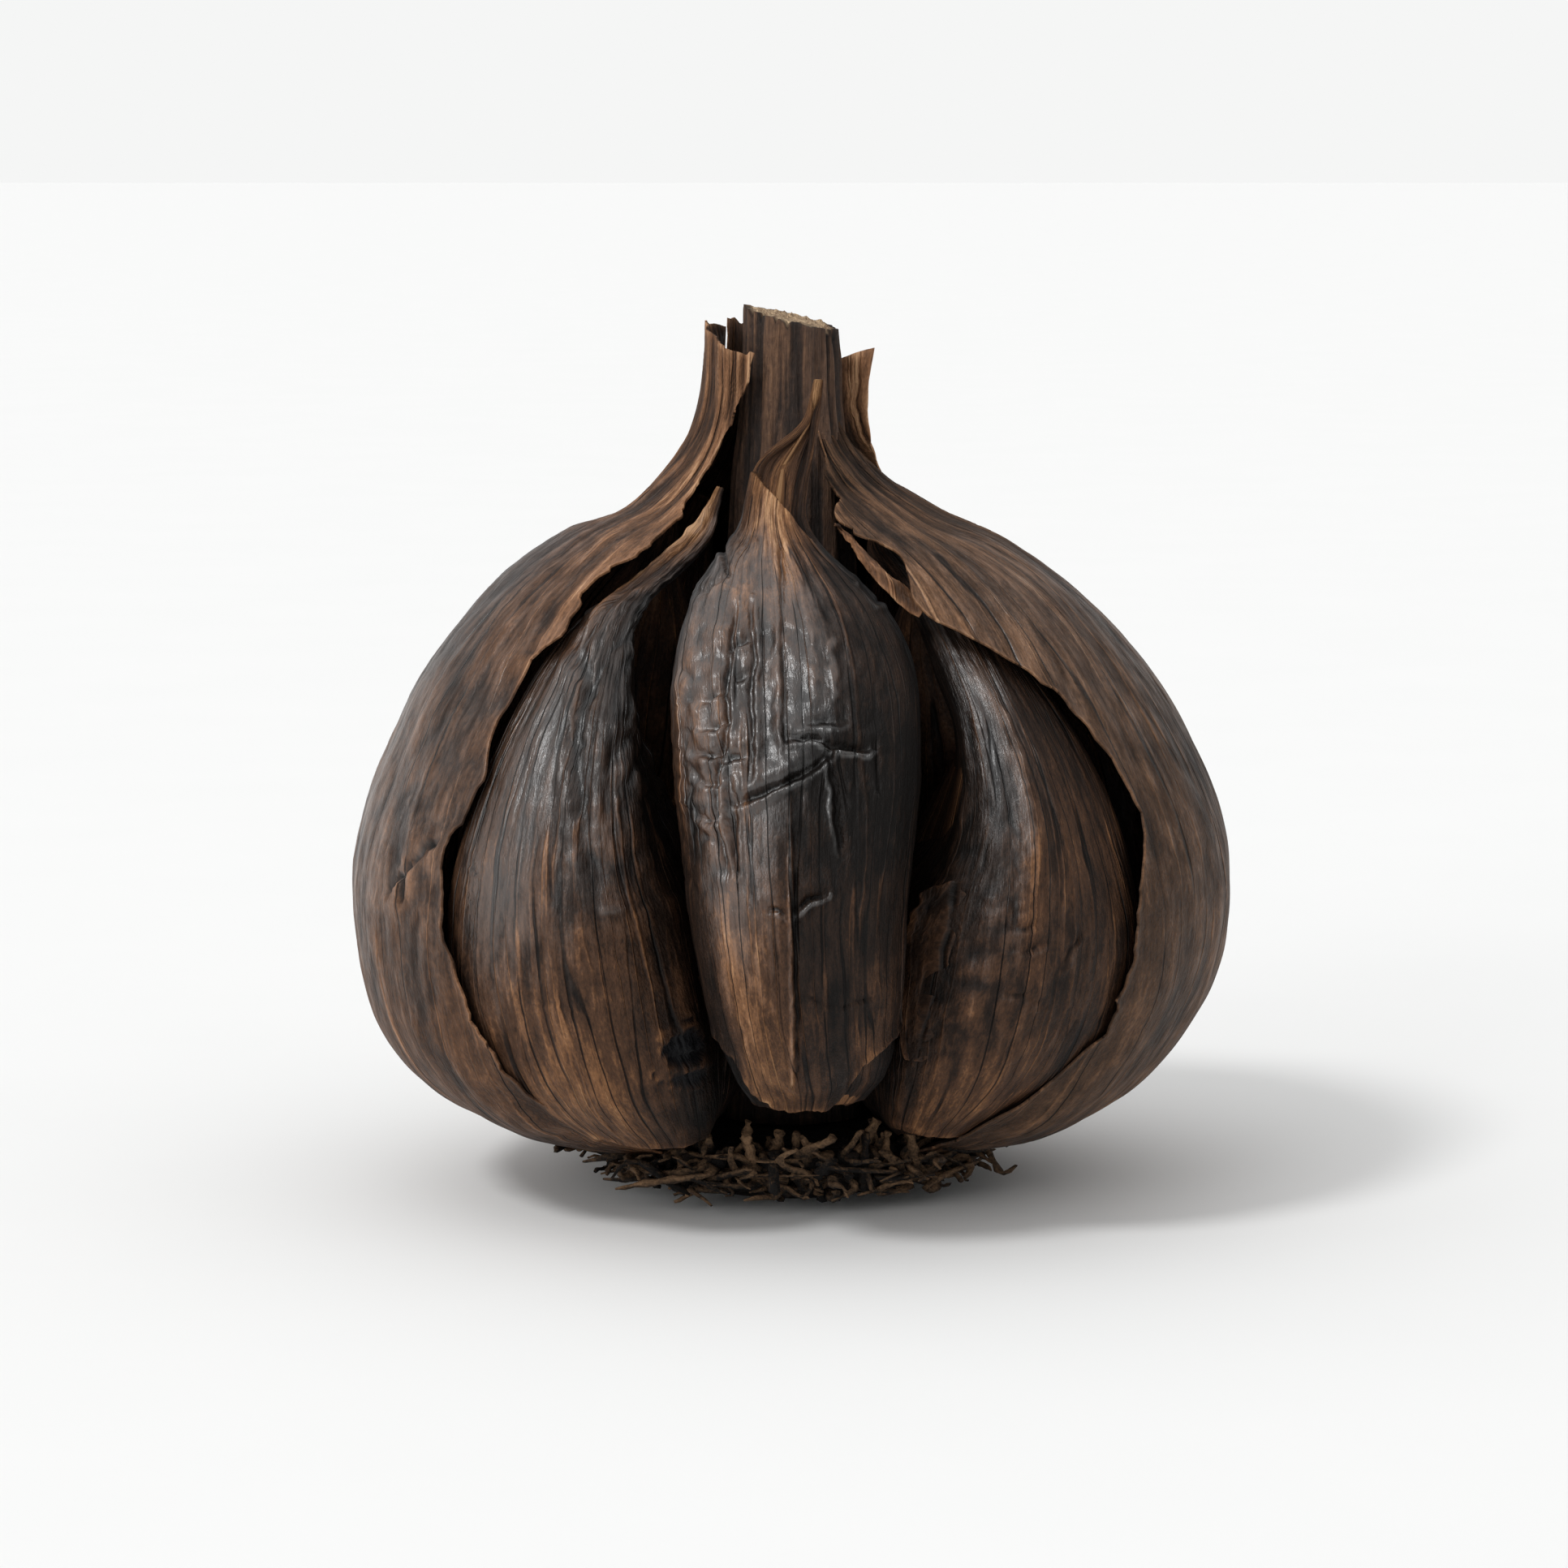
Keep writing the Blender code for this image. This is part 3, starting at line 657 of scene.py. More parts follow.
print("a leaf is", LEAF_THICKNESS, "mm thick, and", RIM_THICKNESS, "mm at its torn edges")

# %% [markdown]
# ### The left leaf
# The lightest leaf, with the longest torn edge. Low on its belly it has split across a few fibres, and the
# flap under the split has lifted and turned orange-brown. Its edges are given as azimuths at even steps
# from the root plate to the end of the neck, and the split as places on the leaf.

# %% Left leaf
LEFT_EDGES = (
    [-160, -160, -160, -160, -160, -160, -160, -158, -152, -146, -140, -136, -132],
    [
        -42, -40, -38, -37, -38, -41, -43.5, -46.5, -48.5, -49.3, -50.5, -47.5, -48, -45.5, -42.5, -43.5,
        -41.5, -41, -41.5, -43.5, -45, -43, -39, -30, -20,
    ],
)
FRONT_HUG = [0.6, 1.3, 1.2, 0.6, 0.35, 0.3, 0.3, 0.2, 0.1, 0.1, 0.5, 0.8, 0.7]
LEFT_SPLIT = [
    on_tube(*place) for place in (
        (-63, 0.352), (-61, 0.368), (-59, 0.372), (-58.4, 0.352), (-58.8, 0.378), (-56, 0.398),
        (-53.5, 0.402),
    )
]


def split_left(azimuth, share, relief, paint):
    """The split: a cut with a lifted, warmer flap below it."""
    around, along = on_tube(azimuth, share)
    distance, _ = line_distance(around, along, LEFT_SPLIT)
    below = smooth((np.interp(around, *zip(LEFT_SPLIT[0], LEFT_SPLIT[2], LEFT_SPLIT[-1])) - along) / 0.4)
    flap = bump_at(distance, 1.3) * below
    paint["warmth"] = np.clip(paint["warmth"] + 0.14 * flap, 0, 1)
    paint["grey"] = paint["grey"] * (1 - flap)
    # The split's line is painted dark as shade.
    paint["hollow"] = np.maximum(paint["hollow"], bump_at(distance, 0.16) * 1.6)
    return relief + 0.30 * flap - 0.40 * bump_at(distance, 0.20)


make_leaf("left", LEFT_EDGES, [0.985, 0.99, 0.985, 0.972, 0.968], 3, (170, 190), 1, FRONT_HUG, (-160, -20), {
    "warmth": "33344333 34444443 34334443 43333455 55556666 55666666",
    "grey": "11111111 22110000 22211221 12455322 01122211 00000000",
    "gloss": "00000000 11111111 12345432 34555322 11222211 00000000",
    "crumple": "00000000 00000100 00013652 00023310 00001100 00000000",
}, left_leather, [0, 0, 0, 0, 0.1, 0.25, 0.35, 0.4, 0.4, 0.5, 0.1, -0.25, -0.1], split_left)

# %% [markdown]
# ### The right leaf
# Greyer than the left one, and darker, partly in its own colour and partly as painted shade away from the key
# light. Its neck end is shorter, and stands against the stalk.

# %% Right leaf
RIGHT_EDGES = (
    [
        44, 41, 39, 38.5, 40.5, 44, 46, 47.2, 48.6, 49.5, 51.3, 53, 50.5, 46.5, 37.5, 26.5, 26.8, 27.5, 21,
        20, 27.5, 31.5, 38, 41, 41,
    ],
    [150, 150, 150, 150, 150, 150, 149, 146, 138, 121, 100, 80, 75],
)
make_leaf("right", RIGHT_EDGES, [0.955, 0.955, 0.965, 0.95], 11, (170, 190), 0, FRONT_HUG, (20, 150), {
    "warmth": "44444444 44455555 44445555 55545555 55544444 44444444",
    "grey": "11111111 01111111 01222111 02333222 01222211 00000000",
    "gloss": "00000000 11111111 12222222 23443322 11111111 00000000",
    "crumple": "00000000 00000000 00000000 01111000 00000000 00000000",
}, shaded_right_leather)

# %% [markdown]
# ### The back leaf
# It runs under the rear edges of the other two. A strip of its neck has torn free on the right and leans
# outwards, with its orange-brown inside turned to the front.

# %% Back leaf
BACK_EDGES = (
    [140, 140, 140, 140, 140, 140, 139, 136, 128, 116, 104, 92, 88],
    [210, 210, 210, 210, 210, 210, 211, 214, 220, 226, 230, 232, 233],
)
SPLINTER_LEAN, SPLINTER_FROM, SPLINTER_TOP, SPLINTER_WIDTH = 3.1, 0.80, 0.975, 1 / 8


def lean_splinter(azimuth, share, relief, paint):
    """The torn strip at the neck leans out."""
    across = (azimuth - azimuth[:, :1]) / (azimuth[:, -1:] - azimuth[:, :1])
    risen = np.clip((share / SPLINTER_TOP - SPLINTER_FROM) / (1 - SPLINTER_FROM), 0, 1)
    free = np.clip(1 - across / SPLINTER_WIDTH, 0, 1) * risen
    paint["warmth"] = np.clip(paint["warmth"] + 0.35 * smooth(free * 3), 0, 1)
    return relief + free * SPLINTER_LEAN


make_leaf("back", BACK_EDGES, [0.975, 0.94, 0.98, 0.998], 23, (90, 120), 0, (0, 0), (88, 233), {
    "warmth": "4444 5455 4555 5545 5555 6655", "grey": "2222 3232 2343 3443 2222 0000",
    "gloss": "0000 1111 2233 2332 1111 0000", "crumple": "0000 0000 0110 0010 0000 0000",
}, left_leather, [0.9] * 10 + [0.75, 0.6, 0.6], lean_splinter)

# %% [markdown]
# ## The cloves: form
# Under the leaves stand eight cloves, each in a skin of its own. A clove is a stack of sections from the
# root scar to the tip of its dry beak. Each section is an ellipse with its widest point moved outwards, and
# pinched towards the stalk, so that eight of them fit round it like the pieces of an orange. The numbers
# are close to those of the solid model. A place on a clove is a share of its length, and an angle round its
# section, with 0 facing outwards.

# %% Clove form
GAP = 0.3
WIDEST_AT, BELLY_TAPER = 0.35, 0.45
SECTOR, OPEN_SECTOR = np.radians(22.0), np.radians(26.0)


class Clove:
    """The form of one clove; back and belly are paths of (distance from the axis, height)."""

    def __init__(self, azimuth, back, belly, half_width, bend=(0, 0), sector=SECTOR):
        self.azimuth, self.back, self.belly, self.sector = azimuth, back, belly, sector
        self.half_width, self.bend = half_width, bend
        self.length = np.linalg.norm(np.diff(curve(back, np.linspace(0, 1, 300)), axis=0), axis=1).sum()

    def point(self, share, angle):
        """A point on the clove's skin, on the ideal bulb."""
        share, angle = np.broadcast_arrays(share, angle)
        outer, inner = curve(self.back, share), curve(self.belly, share)
        c, s = np.cos(angle), np.sin(angle)
        section = (outer + inner) / 2 + (outer - inner) / 2 * (c + WIDEST_AT * s * s)[..., None]
        across = value(self.half_width, share) * s * (1 + BELLY_TAPER * np.minimum(c, 0))
        limit = np.maximum(section[..., 0] * np.tan(self.sector) - GAP, 0.3)
        across = np.clip(across, -limit, limit) + value(self.bend, share)
        return self.place(section[..., 0], across, section[..., 1])

    def place(self, out, across, height):
        return on_circle(self.azimuth, out, height) + on_circle(self.azimuth + 90, across, 0)

    def middle(self, share):
        section = (curve(self.back, share) + curve(self.belly, share)) / 2
        return self.place(section[..., 0], value(self.bend, share), section[..., 1])

    def girth(self, share):
        """Half the size of a section, in mm."""
        depth = np.linalg.norm(curve(self.back, share) - curve(self.belly, share), axis=-1) / 2
        return np.sqrt(depth * value(self.half_width, share))

    def across(self, points):
        """How far to the right of the clove's own middle line points are, in mm."""
        turn = np.radians(self.azimuth + 90)
        return points[..., 0] * np.sin(turn) - points[..., 1] * np.cos(turn)


CLOVE_BACK = [
    (11.6, 4.2), (18.6, 6.7), (24.4, 10.9), (27.3, 16.0), (28.0, 21.4), (27.0, 27.2), (24.1, 33.2),
    (19.5, 38.8), (14.3, 42.7), (10.9, 44.8), (8.8, 46.1), (7.8, 46.9),
]
CLOVE_BELLY = [
    (10.6, 4.2), (7.8, 7.0), (6.3, 11.0), (5.7, 16.0), (5.6, 21.4), (5.6, 27.0), (5.8, 32.4),
    (6.4, 37.2), (7.4, 41.0), (7.7, 43.6), (7.4, 45.4), (7.2, 46.6),
]
CLOVE_HALF_WIDTH = [1.0, 4.6, 6.8, 8.2, 8.8, 8.6, 7.2, 4.9, 3.0, 1.9, 1.1, 0.6]
plain_clove = Clove(0.0, CLOVE_BACK, CLOVE_BELLY, CLOVE_HALF_WIDTH)
print("a plain clove is", round(plain_clove.length, 1), "mm long along its back")

# %% [markdown]
# ## The clove skins: a skin turned inside out
# A clove's skin is a bag that is open at its foot. Its grid runs round the clove and up to the tip of the
# beak, and then back down inside, so one grid that closes both ways makes a closed piece. The outside needs
# very small quads for its creases, and the inside, which nobody sees, needs only a few rows. They are also
# crowded towards the side that faces out, where the tables of paint have their view.

# %% Wrapped grids
BAG_SHARES = [1.0, 0.985, 0.95, 0.9, 0.8, 0.7, 0.55, 0.4, 0.25, 0.12]
# How wide the inside is at the first five, as a part of the section; below them the skin has one thickness.
BAG_SIZES = [0.6, 0.45, 0.15, 0.1, 0.25]
BAG_THICKNESS = 0.62


def wrapped_faces(outer_rows, rows, columns):
    """The quads of both sides of a bag, and those of its two rims."""
    index = ring_index(rows, columns)
    rims = np.vstack([quads(index[outer_rows - 1:outer_rows + 1]), quads(index[[-1, 0]])])
    return np.vstack([quads(index[:outer_rows]), quads(index[outer_rows:])]), rims


def bag_inside(clove, angle, first):
    """Points inside the skin, from the beak's tip down to the foot."""
    shares = np.append(BAG_SHARES, first)[:, None]
    sizes = 1 - BAG_THICKNESS / clove.girth(shares)
    sizes[:len(BAG_SIZES), 0] = BAG_SIZES
    middle = clove.middle(shares)
    return middle + (clove.point(shares, angle[:1]) - middle) * np.clip(sizes, 0.1, 0.9)[..., None]


print("a bag of 4 + 2 rows has", len(wrapped_faces(4, 6, 5)[0]), "side quads")

# %% [markdown]
# ## The clove skins: creases and veins
# Where a wrinkle folds, one side dips sharply and the skin beyond it stands up in a small ridge that
# catches the light. So a crease is a line with a right hand and a left hand: a thin groove, a ridge to the
# right of it and a soft swell to the left. It weakens towards its ends and wanders a little. A raised vein
# is the same line turned outwards.
#
# The three cloves in the opening each have a list of such marks, one to a line: its depth and width, and
# then the across and height of each place along its path, all in millimetres. The ridge lies on the right
# hand of somebody who walks along the path. A depth below 0 raises a vein or a flute instead.

# %% Creases
def marks(text):
    """A list of (path, depth, width) from lines of numbers."""
    rows = [[float(word) for word in line.split()] for line in text.strip().splitlines()]
    return [(list(zip(row[2::2], row[3::2])), row[0], row[1]) for row in rows]


def mark_relief(across, height, path, depth, width, seed):
    """The relief of a mark, how strongly its line shows, and how brightly the ridge beside it."""
    distance, hand = line_distance(across, height, path)
    side = distance * hand + 0.7 * width * noise(seed, across * 1.3, height * 1.3)
    ends = np.minimum(*(np.hypot(across - x, height - y) for x, y in (path[0], path[-1])))
    strength = smooth(0.3 + ends / (7 * width)) * (0.85 + 0.4 * noise(seed + 1, across * 0.8, height * 0.8))
    line = bump_at(side, width) * strength
    if depth < 0:
        return -depth * line, line, line * np.clip(-depth * 4, 0, 1)
    lip = strength * bump_at(side - 2.3 * width, 1.4 * width)
    swell = 0.45 * strength * bump_at(side + 4.5 * width, 3.2 * width)
    return depth * (0.7 * lip + swell - line), line, lip * np.clip(depth * 2, 0, 1)


print("a mark reads as", marks("0.2 0.1  -1 30  2 31.5")[0])

# %% [markdown]
# ## The clove skins: relief
# Each skin gets slow swells, faint flutes along its fibres, and pleats where it narrows to the beak. One
# table says where it has crumpled into puckers, and another where it swells out towards the leaf that hugs
# it. On top of that come the single marks, the spots where the skin has flaked off, and the torn hem at the
# foot.

# %% Clove skin relief
def skin_relief(seed, around, along, share, crumple, room):
    """The relief of a clove skin and its furrows, in mm; room goes below 1 where the clove is thin."""
    bend = 0.8 * noise(seed + 40, around / 6, along / 8)
    neck = smooth((share - 0.60) / 0.2)
    swells = 0.20 * layers(seed, 2, around / 9, along / 12) * room
    furrows = 0.10 * (cushions(seed + 10, 2, (around + bend) / 2.6, along / 32) - 0.45) * room
    furrows += 0.40 * neck * (cushions(seed + 20, 3, (around + bend) / 3.0, along / 24) - 0.6) * room
    slant_across, slant_along = around + 0.35 * along + 1.6 * bend, along - 0.25 * around + 1.2 * bend
    furrows += 0.60 * crumple * (cushions(seed + 30, 2, slant_across / 3.4, slant_along / 2.3) - 0.6)
    furrows += 0.06 * layers(seed + 50, 2, around / 1.7, along / 3.0)
    return swells + furrows, furrows


def draw_mark(mark, seed, across, height, front, relief, paint):
    """Adds one mark to a skin's relief and paint; front is 1 on the side that faces out."""
    raised, line, lip = mark_relief(across, height, *mark, seed)
    _, depth, _ = mark
    relief += front * raised
    paint["gloss"] = np.maximum(paint["gloss"], 0.9 * front * lip)
    # The crease's line is painted darker as shade.
    paint["hollow"] = np.maximum(paint["hollow"], front * line**3 * np.clip(depth * 4, 0, 1.5))
    # A raised vein or flute is painted lighter along its crest: partly its own paler colour, partly a painted
    # highlight.
    paint["warmth"] = paint["warmth"] + front * line * np.clip(-depth * 2, 0, 0.26)


def flake_off(centre, size, seed, across, height, front, relief, paint):
    """Bares the flesh in a ragged oval, with a raised pale rim round it."""
    spot = np.hypot((across - centre[0]) / size[0], (height - centre[1]) / size[1])
    spot = 1.0 - spot + 0.5 * layers(seed, 4, across / 0.7, height / 1.3)
    relief += front * (0.16 * bump_at(spot + 0.10, 0.12) - 0.24 * smooth(spot / 0.12))
    paint["edge"] = np.maximum(paint["edge"], 0.8 * front * bump_at(spot + 0.06, 0.06))
    paint["bare"] = np.maximum(paint["bare"], front * smooth(spot / 0.08))


def tear_hem(hem, seed, across, height, front, relief, paint):
    """Ends the outermost layer in a torn, curled hem; under it the skin is darker."""
    under = np.interp(across, *zip(*hem)) + 0.9 * ragged(seed, across * 1.3) - height
    relief += front * (0.2 * np.exp(-abs(under + 0.3) / 0.3) * (under < 0) - 0.3 * smooth(under / 0.2))
    flaky = 0.6 + 0.8 * noise(seed + 5, across, height)
    curled = np.exp(-abs(under + 0.25) / 0.25) * (under < 0.1)
    paint["edge"] = np.maximum(paint["edge"], front * flaky * curled)
    paint["warmth"] = paint["warmth"] - 0.25 * front * smooth(under / 0.25)


sample = [round(float(part), 2) for part in skin_relief(7, 1.0, 30.0, 0.5, 0, 1.0)]
print("the relief and a furrow on a clove skin, in mm:", sample)

# %% [markdown]
# ## The clove skins: grids
# A skin's columns go once round its clove, and lie closest where it faces out. Its rows lie closest across
# its middle, where most creases are. Here all of the above comes together: form, relief, marks, paint and
# the inside.

# %% Make a clove skin
CLOVE_TUBE = 9.0
SWELL = 1.35
DEEPEST = -0.5
TABLE_TOP = 0.9  # the share that a table's last row stands for; the end of the beak keeps its colours


def make_skin(label, clove, seed, grid, view, first_share, tables, creases=(), hem=None, bare=(), carve=None):
    """view is the angles that the tables' first and last columns stand for."""
    columns, rows = grid
    x = (np.arange(columns) / columns * 2 - 1)[None, :]
    up = np.interp(np.linspace(0, 1, rows), [0, 0.2, 0.75, 1], [0, 0.26, 0.75, 1])[:, None]
    angle = np.pi * (x - 0.5 * np.sin(np.pi * x) / np.pi) + np.radians(sum(view) / 2) + 0 * up
    around = angle * CLOVE_TUBE
    first = first_share + (0.3 + 0.6 * ragged(seed + 60, around)) / clove.length
    share = first + (1 - first) * up
    along = share * clove.length
    ideal = clove.point(share, angle)
    place = settle(ideal)
    across, height = clove.across(place), place[..., 2]
    seen = (np.degrees(angle) - view[0]) / (view[1] - view[0])
    paint = {name: paint_table(table, seen, share / TABLE_TOP) for name, table in tables.items()}
    room = np.clip(clove.girth(share) / 3.0, 0.12, 1.0)
    relief, furrows = skin_relief(seed, around, along, share, paint.pop("crumple"), room)
    relief += SWELL * paint.pop("swell", 0)
    torn = np.exp(-(along - first * clove.length) / 0.35) + 0.5 * np.exp(-(clove.length - along) / 0.5)
    # The skin's furrows are painted darker as shade.
    paint.update(hollow=smooth(-furrows / 0.30), edge=torn, bare=0 * along, inside=0 * along)
    skin = across, height, smooth(np.cos(angle) * 3 + 1), relief, paint
    for number, mark in enumerate(creases):
        draw_mark(mark, seed + 70 + number, *skin)
    for centre, size in bare:
        flake_off(centre, size, seed + 80, *skin)
    if hem:
        tear_hem(hem, seed + 90, *skin)
    relief = np.maximum(relief, DEEPEST)
    if carve:
        relief = carve(angle, across, height, relief, paint)
    paint["grain"] = on_circle(np.degrees(angle), CLOVE_TUBE, along)
    outer = ideal + facing(ideal, True) * relief[..., None]
    inner = bag_inside(clove, angle, first_share + 0.01)
    paint = {name: np.concatenate([v, v[-1:].repeat(len(inner), 0)]) for name, v in paint.items()}
    paint["inside"][rows:] = 1
    points = settle(np.concatenate([outer, inner]))
    faces = wrapped_faces(rows, rows + len(inner), columns)
    new_piece(f"skin_{label}", points, *faces, paint, skin_leather, "clove_skin", [f"clove_skin_{label}"])


print("creases go at most", -DEEPEST, "mm into a skin that is", BAG_THICKNESS, "mm thick")

# %% [markdown]
# ### The front clove
# It stands free in the opening, and it is where the eye goes first. Its middle is stuck to the flesh,
# nearly black and shiny, with one deep slanting crease and a patch of fine puckers to the left of it.
# Below, brown stripes run either side of a sooty one, and above, it dries to brown with grey ragged
# margins. Its half widths and its sideways bend are given at 23 even steps, because the beak changes so
# quickly.

# %% Front clove form
FRONT_BACK = [
    (11.8, 4.2), (19.2, 8.7), (25.0, 12.0), (28.2, 16.4), (29.0, 22.0), (28.2, 28.0), (25.6, 34.2),
    (21.0, 40.0), (15.8, 43.9), (11.6, 46.6), (8.9, 50.4), (7.5, 55.7),
]
FRONT_BELLY = [
    (10.8, 4.2), (8.4, 8.4), (6.6, 12.0), (5.8, 16.6), (5.6, 22.0), (5.6, 28.0), (5.8, 33.6),
    (6.6, 38.6), (8.2, 42.6), (8.4, 46.0), (7.3, 50.2), (6.8, 55.5),
]
FRONT_HALF_WIDTH = [
    1.3, 2.8, 4.0, 5.0, 5.6, 6.0, 6.4, 6.7, 7.0, 7.3, 7.7, 8.0, 8.1, 8.0, 7.3, 6.2, 4.7, 3.1, 2.15, 1.95,
    1.75, 0.6, 0.3,
]
FRONT_BEND = [
    0, 0.5, 0.9, 1.0, 0.85, 0.6, 0.35, 0.15, 0, 0, 0, 0, 0, -0.1, -0.3, -0.6, -0.9, -0.95, -0.8, -0.3,
    0.35, 1.95, 2.5,
]
front = Clove(1.0, FRONT_BACK, FRONT_BELLY, FRONT_HALF_WIDTH, FRONT_BEND, OPEN_SECTOR)
print("the front clove is", round(front.length, 1), "mm long")

# %% [markdown]
# ### The front clove's creases
# The first four marks are the deep slanting crease and its branches, and the next eleven the puckers to its
# left. After a small crease on the right come three flutes, a furrow between them, and the vein down the
# middle with a groove beside it. The last few are short cracks below the shiny part, nicks in the grey
# margins and one more flute.

# %% Front clove creases
front_marks = marks("""
    0.60 0.19  -3.8 29.9  -2.2 30.7  -0.75 31.3  0.5 31.9  1.9 32.9
    0.55 0.17  -0.75 33.9  0.7 33.9  1.5 33.6  2.3 33.3  4.3 33.1
    0.36 0.22  0 34.7  1.3 34.9  2.5 34.7
    0.34 0.18  1.95 33.4  2 32  2.3 30.6  2.3 28.9  2.7 26.9
    0.41 0.16  -4.5 25.6  -5.1 28.5  -5.1 31.5  -4.4 34.7  -4.6 36.4  -4.3 38.6  -3.9 41.5
    0.31 0.15  -3.1 31.4  -2.9 34.7  -3.1 36.7  -2.75 38.4  -3 41.8
    0.27 0.15  -4 25.6  -4.1 28.5  -4 29.9  -4.3 31.2
    0.44 0.20  -6.4 35.9  -5.6 36.1  -4.8 36.7
    0.44 0.20  -6 34.3  -5.2 34.4  -4.6 34.9
    0.44 0.20  -6.5 32.8  -5.4 32.7  -4.6 33.2
    0.41 0.18  -6.5 31.4  -5.8 31  -5 31.2
    0.41 0.18  -4.9 32.2  -4.2 32.7  -3.2 32.8
    0.34 0.18  -4.6 39.2  -3.8 39.3  -3 39.7
    0.34 0.17  -4.2 37.3  -3.6 37.4  -3 37.8
    0.44 0.18  -6.3 29  -5.7 28.7  -5.2 28.9
    0.24 0.15  4.7 33.6  4.9 32  5.1 30.6
    -0.36 0.39  -1.3 42  -1.35 38  -1.3 33.4
    -0.30 0.44  1 41.5  1 38  0.9 35.2
    -0.24 0.34  2.1 40.5  2.2 37.5  2.1 35
    0.20 0.15  -0.95 46  -0.95 41  -0.85 32.9
    -0.15 0.15  -0.6 30.6  -0.7 26.5  -0.6 21  -0.5 16.8  -0.4 11.2
    0.24 0.15  -0.3 28.5  -0.35 21  -0.2 16.8  -0.1 11
    0.34 0.15  -2.2 23.4  -1.4 23.5  -0.7 23.1
    0.41 0.15  -0.3 23.4  0.5 24.1  1.5 24.4
    0.14 0.10  0.3 18  1.6 17.2  2.8 17.1  4.8 17.6
    0.27 0.15  -4.8 45.2  -4.4 43.4  -6.3 42.3
    0.27 0.15  4.3 42.5  5.2 41.7  6.2 41.6
    -0.11 0.15  2.3 42.1  3 39.8  3.3 37.5
""")
print("the front clove has", len(front_marks), "marks")

# %% [markdown]
# ### The front clove's skin
# The tables read from the foot (first group) to the beak (last group), and from the left margin to the
# right one. The beak has dried into a hollow blade that is folded along a slanting line, given as (across,
# height) places.

# %% Front clove skin
FOLD_LINE = [(-3.3, 50.0), (-2.5, 49.4), (-1.9, 48.7), (-1.2, 48.0), (-0.4, 47.1), (0.2, 46.35), (1.0, 45.4)]


def hollow_beak(angle, across, height, relief, paint):
    """Above the fold: a hollow blade in painted shade, its rim paler, partly its own colour and partly a
    painted highlight; below: a tan tongue.
    """
    distance, hand = line_distance(across, height, FOLD_LINE)
    blade = smooth(0.5 - distance * hand / 0.25) * smooth((height - 45.0) / 0.8)
    middle = smooth((np.cos(angle) - 0.10) / 0.45) * smooth((54.6 - height) / 1.6)
    rim = np.clip(blade * smooth(np.cos(angle) + 0.5) * (1 - middle), 0, 1)
    tongue = (1 - blade) * np.exp(-distance / 1.2)
    paint["warmth"] = np.clip(paint["warmth"] + 0.22 * tongue - 0.06 * blade * middle + 0.30 * rim, 0, 1)
    paint["hollow"] = np.maximum(paint["hollow"] * (1 - 0.5 * blade), 0.15 * blade * middle)
    for label in ("grey", "gloss"):
        paint[label] = paint[label] * (1 - blade)
    return relief - 0.62 * blade * middle + 0.28 * tongue * smooth(np.cos(angle) * 2)


front_hem = [
    (-8, 15), (-5.2, 14.0), (-4.1, 12.6), (-3.0, 10.6), (-1.7, 8.9), (0.2, 8.2), (2.1, 8.6), (3.0, 10.2),
    (4.2, 12.5), (8, 15),
]
make_skin("front", front, 7, (270, 330), (-80, 80), 0.085, {
    "warmth": "223333332 125541532 225521332 344311100 354321110 245675311 355665432",
    "grey": "540011125 651034126 420011025 100000002 630000026 864000258 300000001",
    "gloss": "000000000 011000000 123210000 258610000 599983100 235653200 011221100",
    "crumple": "000000000 000000000 001100000 344222221 145332200 012210000 000000000",
}, front_marks, front_hem, carve=hollow_beak)

# %% [markdown]
# ### The clove on its left
# Round, with a soft shine on its belly. Its beak has curled out of the opening: a long tan lip of two
# ridges, with a dark fold beside it. At its foot the skin has flaked off and the bare black flesh shows.

# %% Front left clove
LEFT_BACK = [*CLOVE_BACK[:8], (16.0, 41.4), (13.0, 43.4), (9.9, 45.4), (7.6, 48.2)]
LEFT_BELLY = [
    *CLOVE_BELLY[:4], (8.0, 21.4), (13.0, 27.0), (15.8, 32.2), (16.2, 37.0), (14.4, 40.4), (11.4, 42.6),
    (8.9, 44.9), (7.1, 48.0),
]
LEFT_HALF_WIDTH = [1.0, 5.4, 7.9, 8.6, 8.2, 6.8, 5.2, 2.8, 1.15, 0.85, 0.62, 0.25]
LEFT_BEND = [0, 0.8, 1.2, 1.3, 1.3, 1.4, 0.9, 0.2, 0.4, 0.9, 1.3, 1.6]
front_left = Clove(316.5, LEFT_BACK, LEFT_BELLY, LEFT_HALF_WIDTH, LEFT_BEND, OPEN_SECTOR)
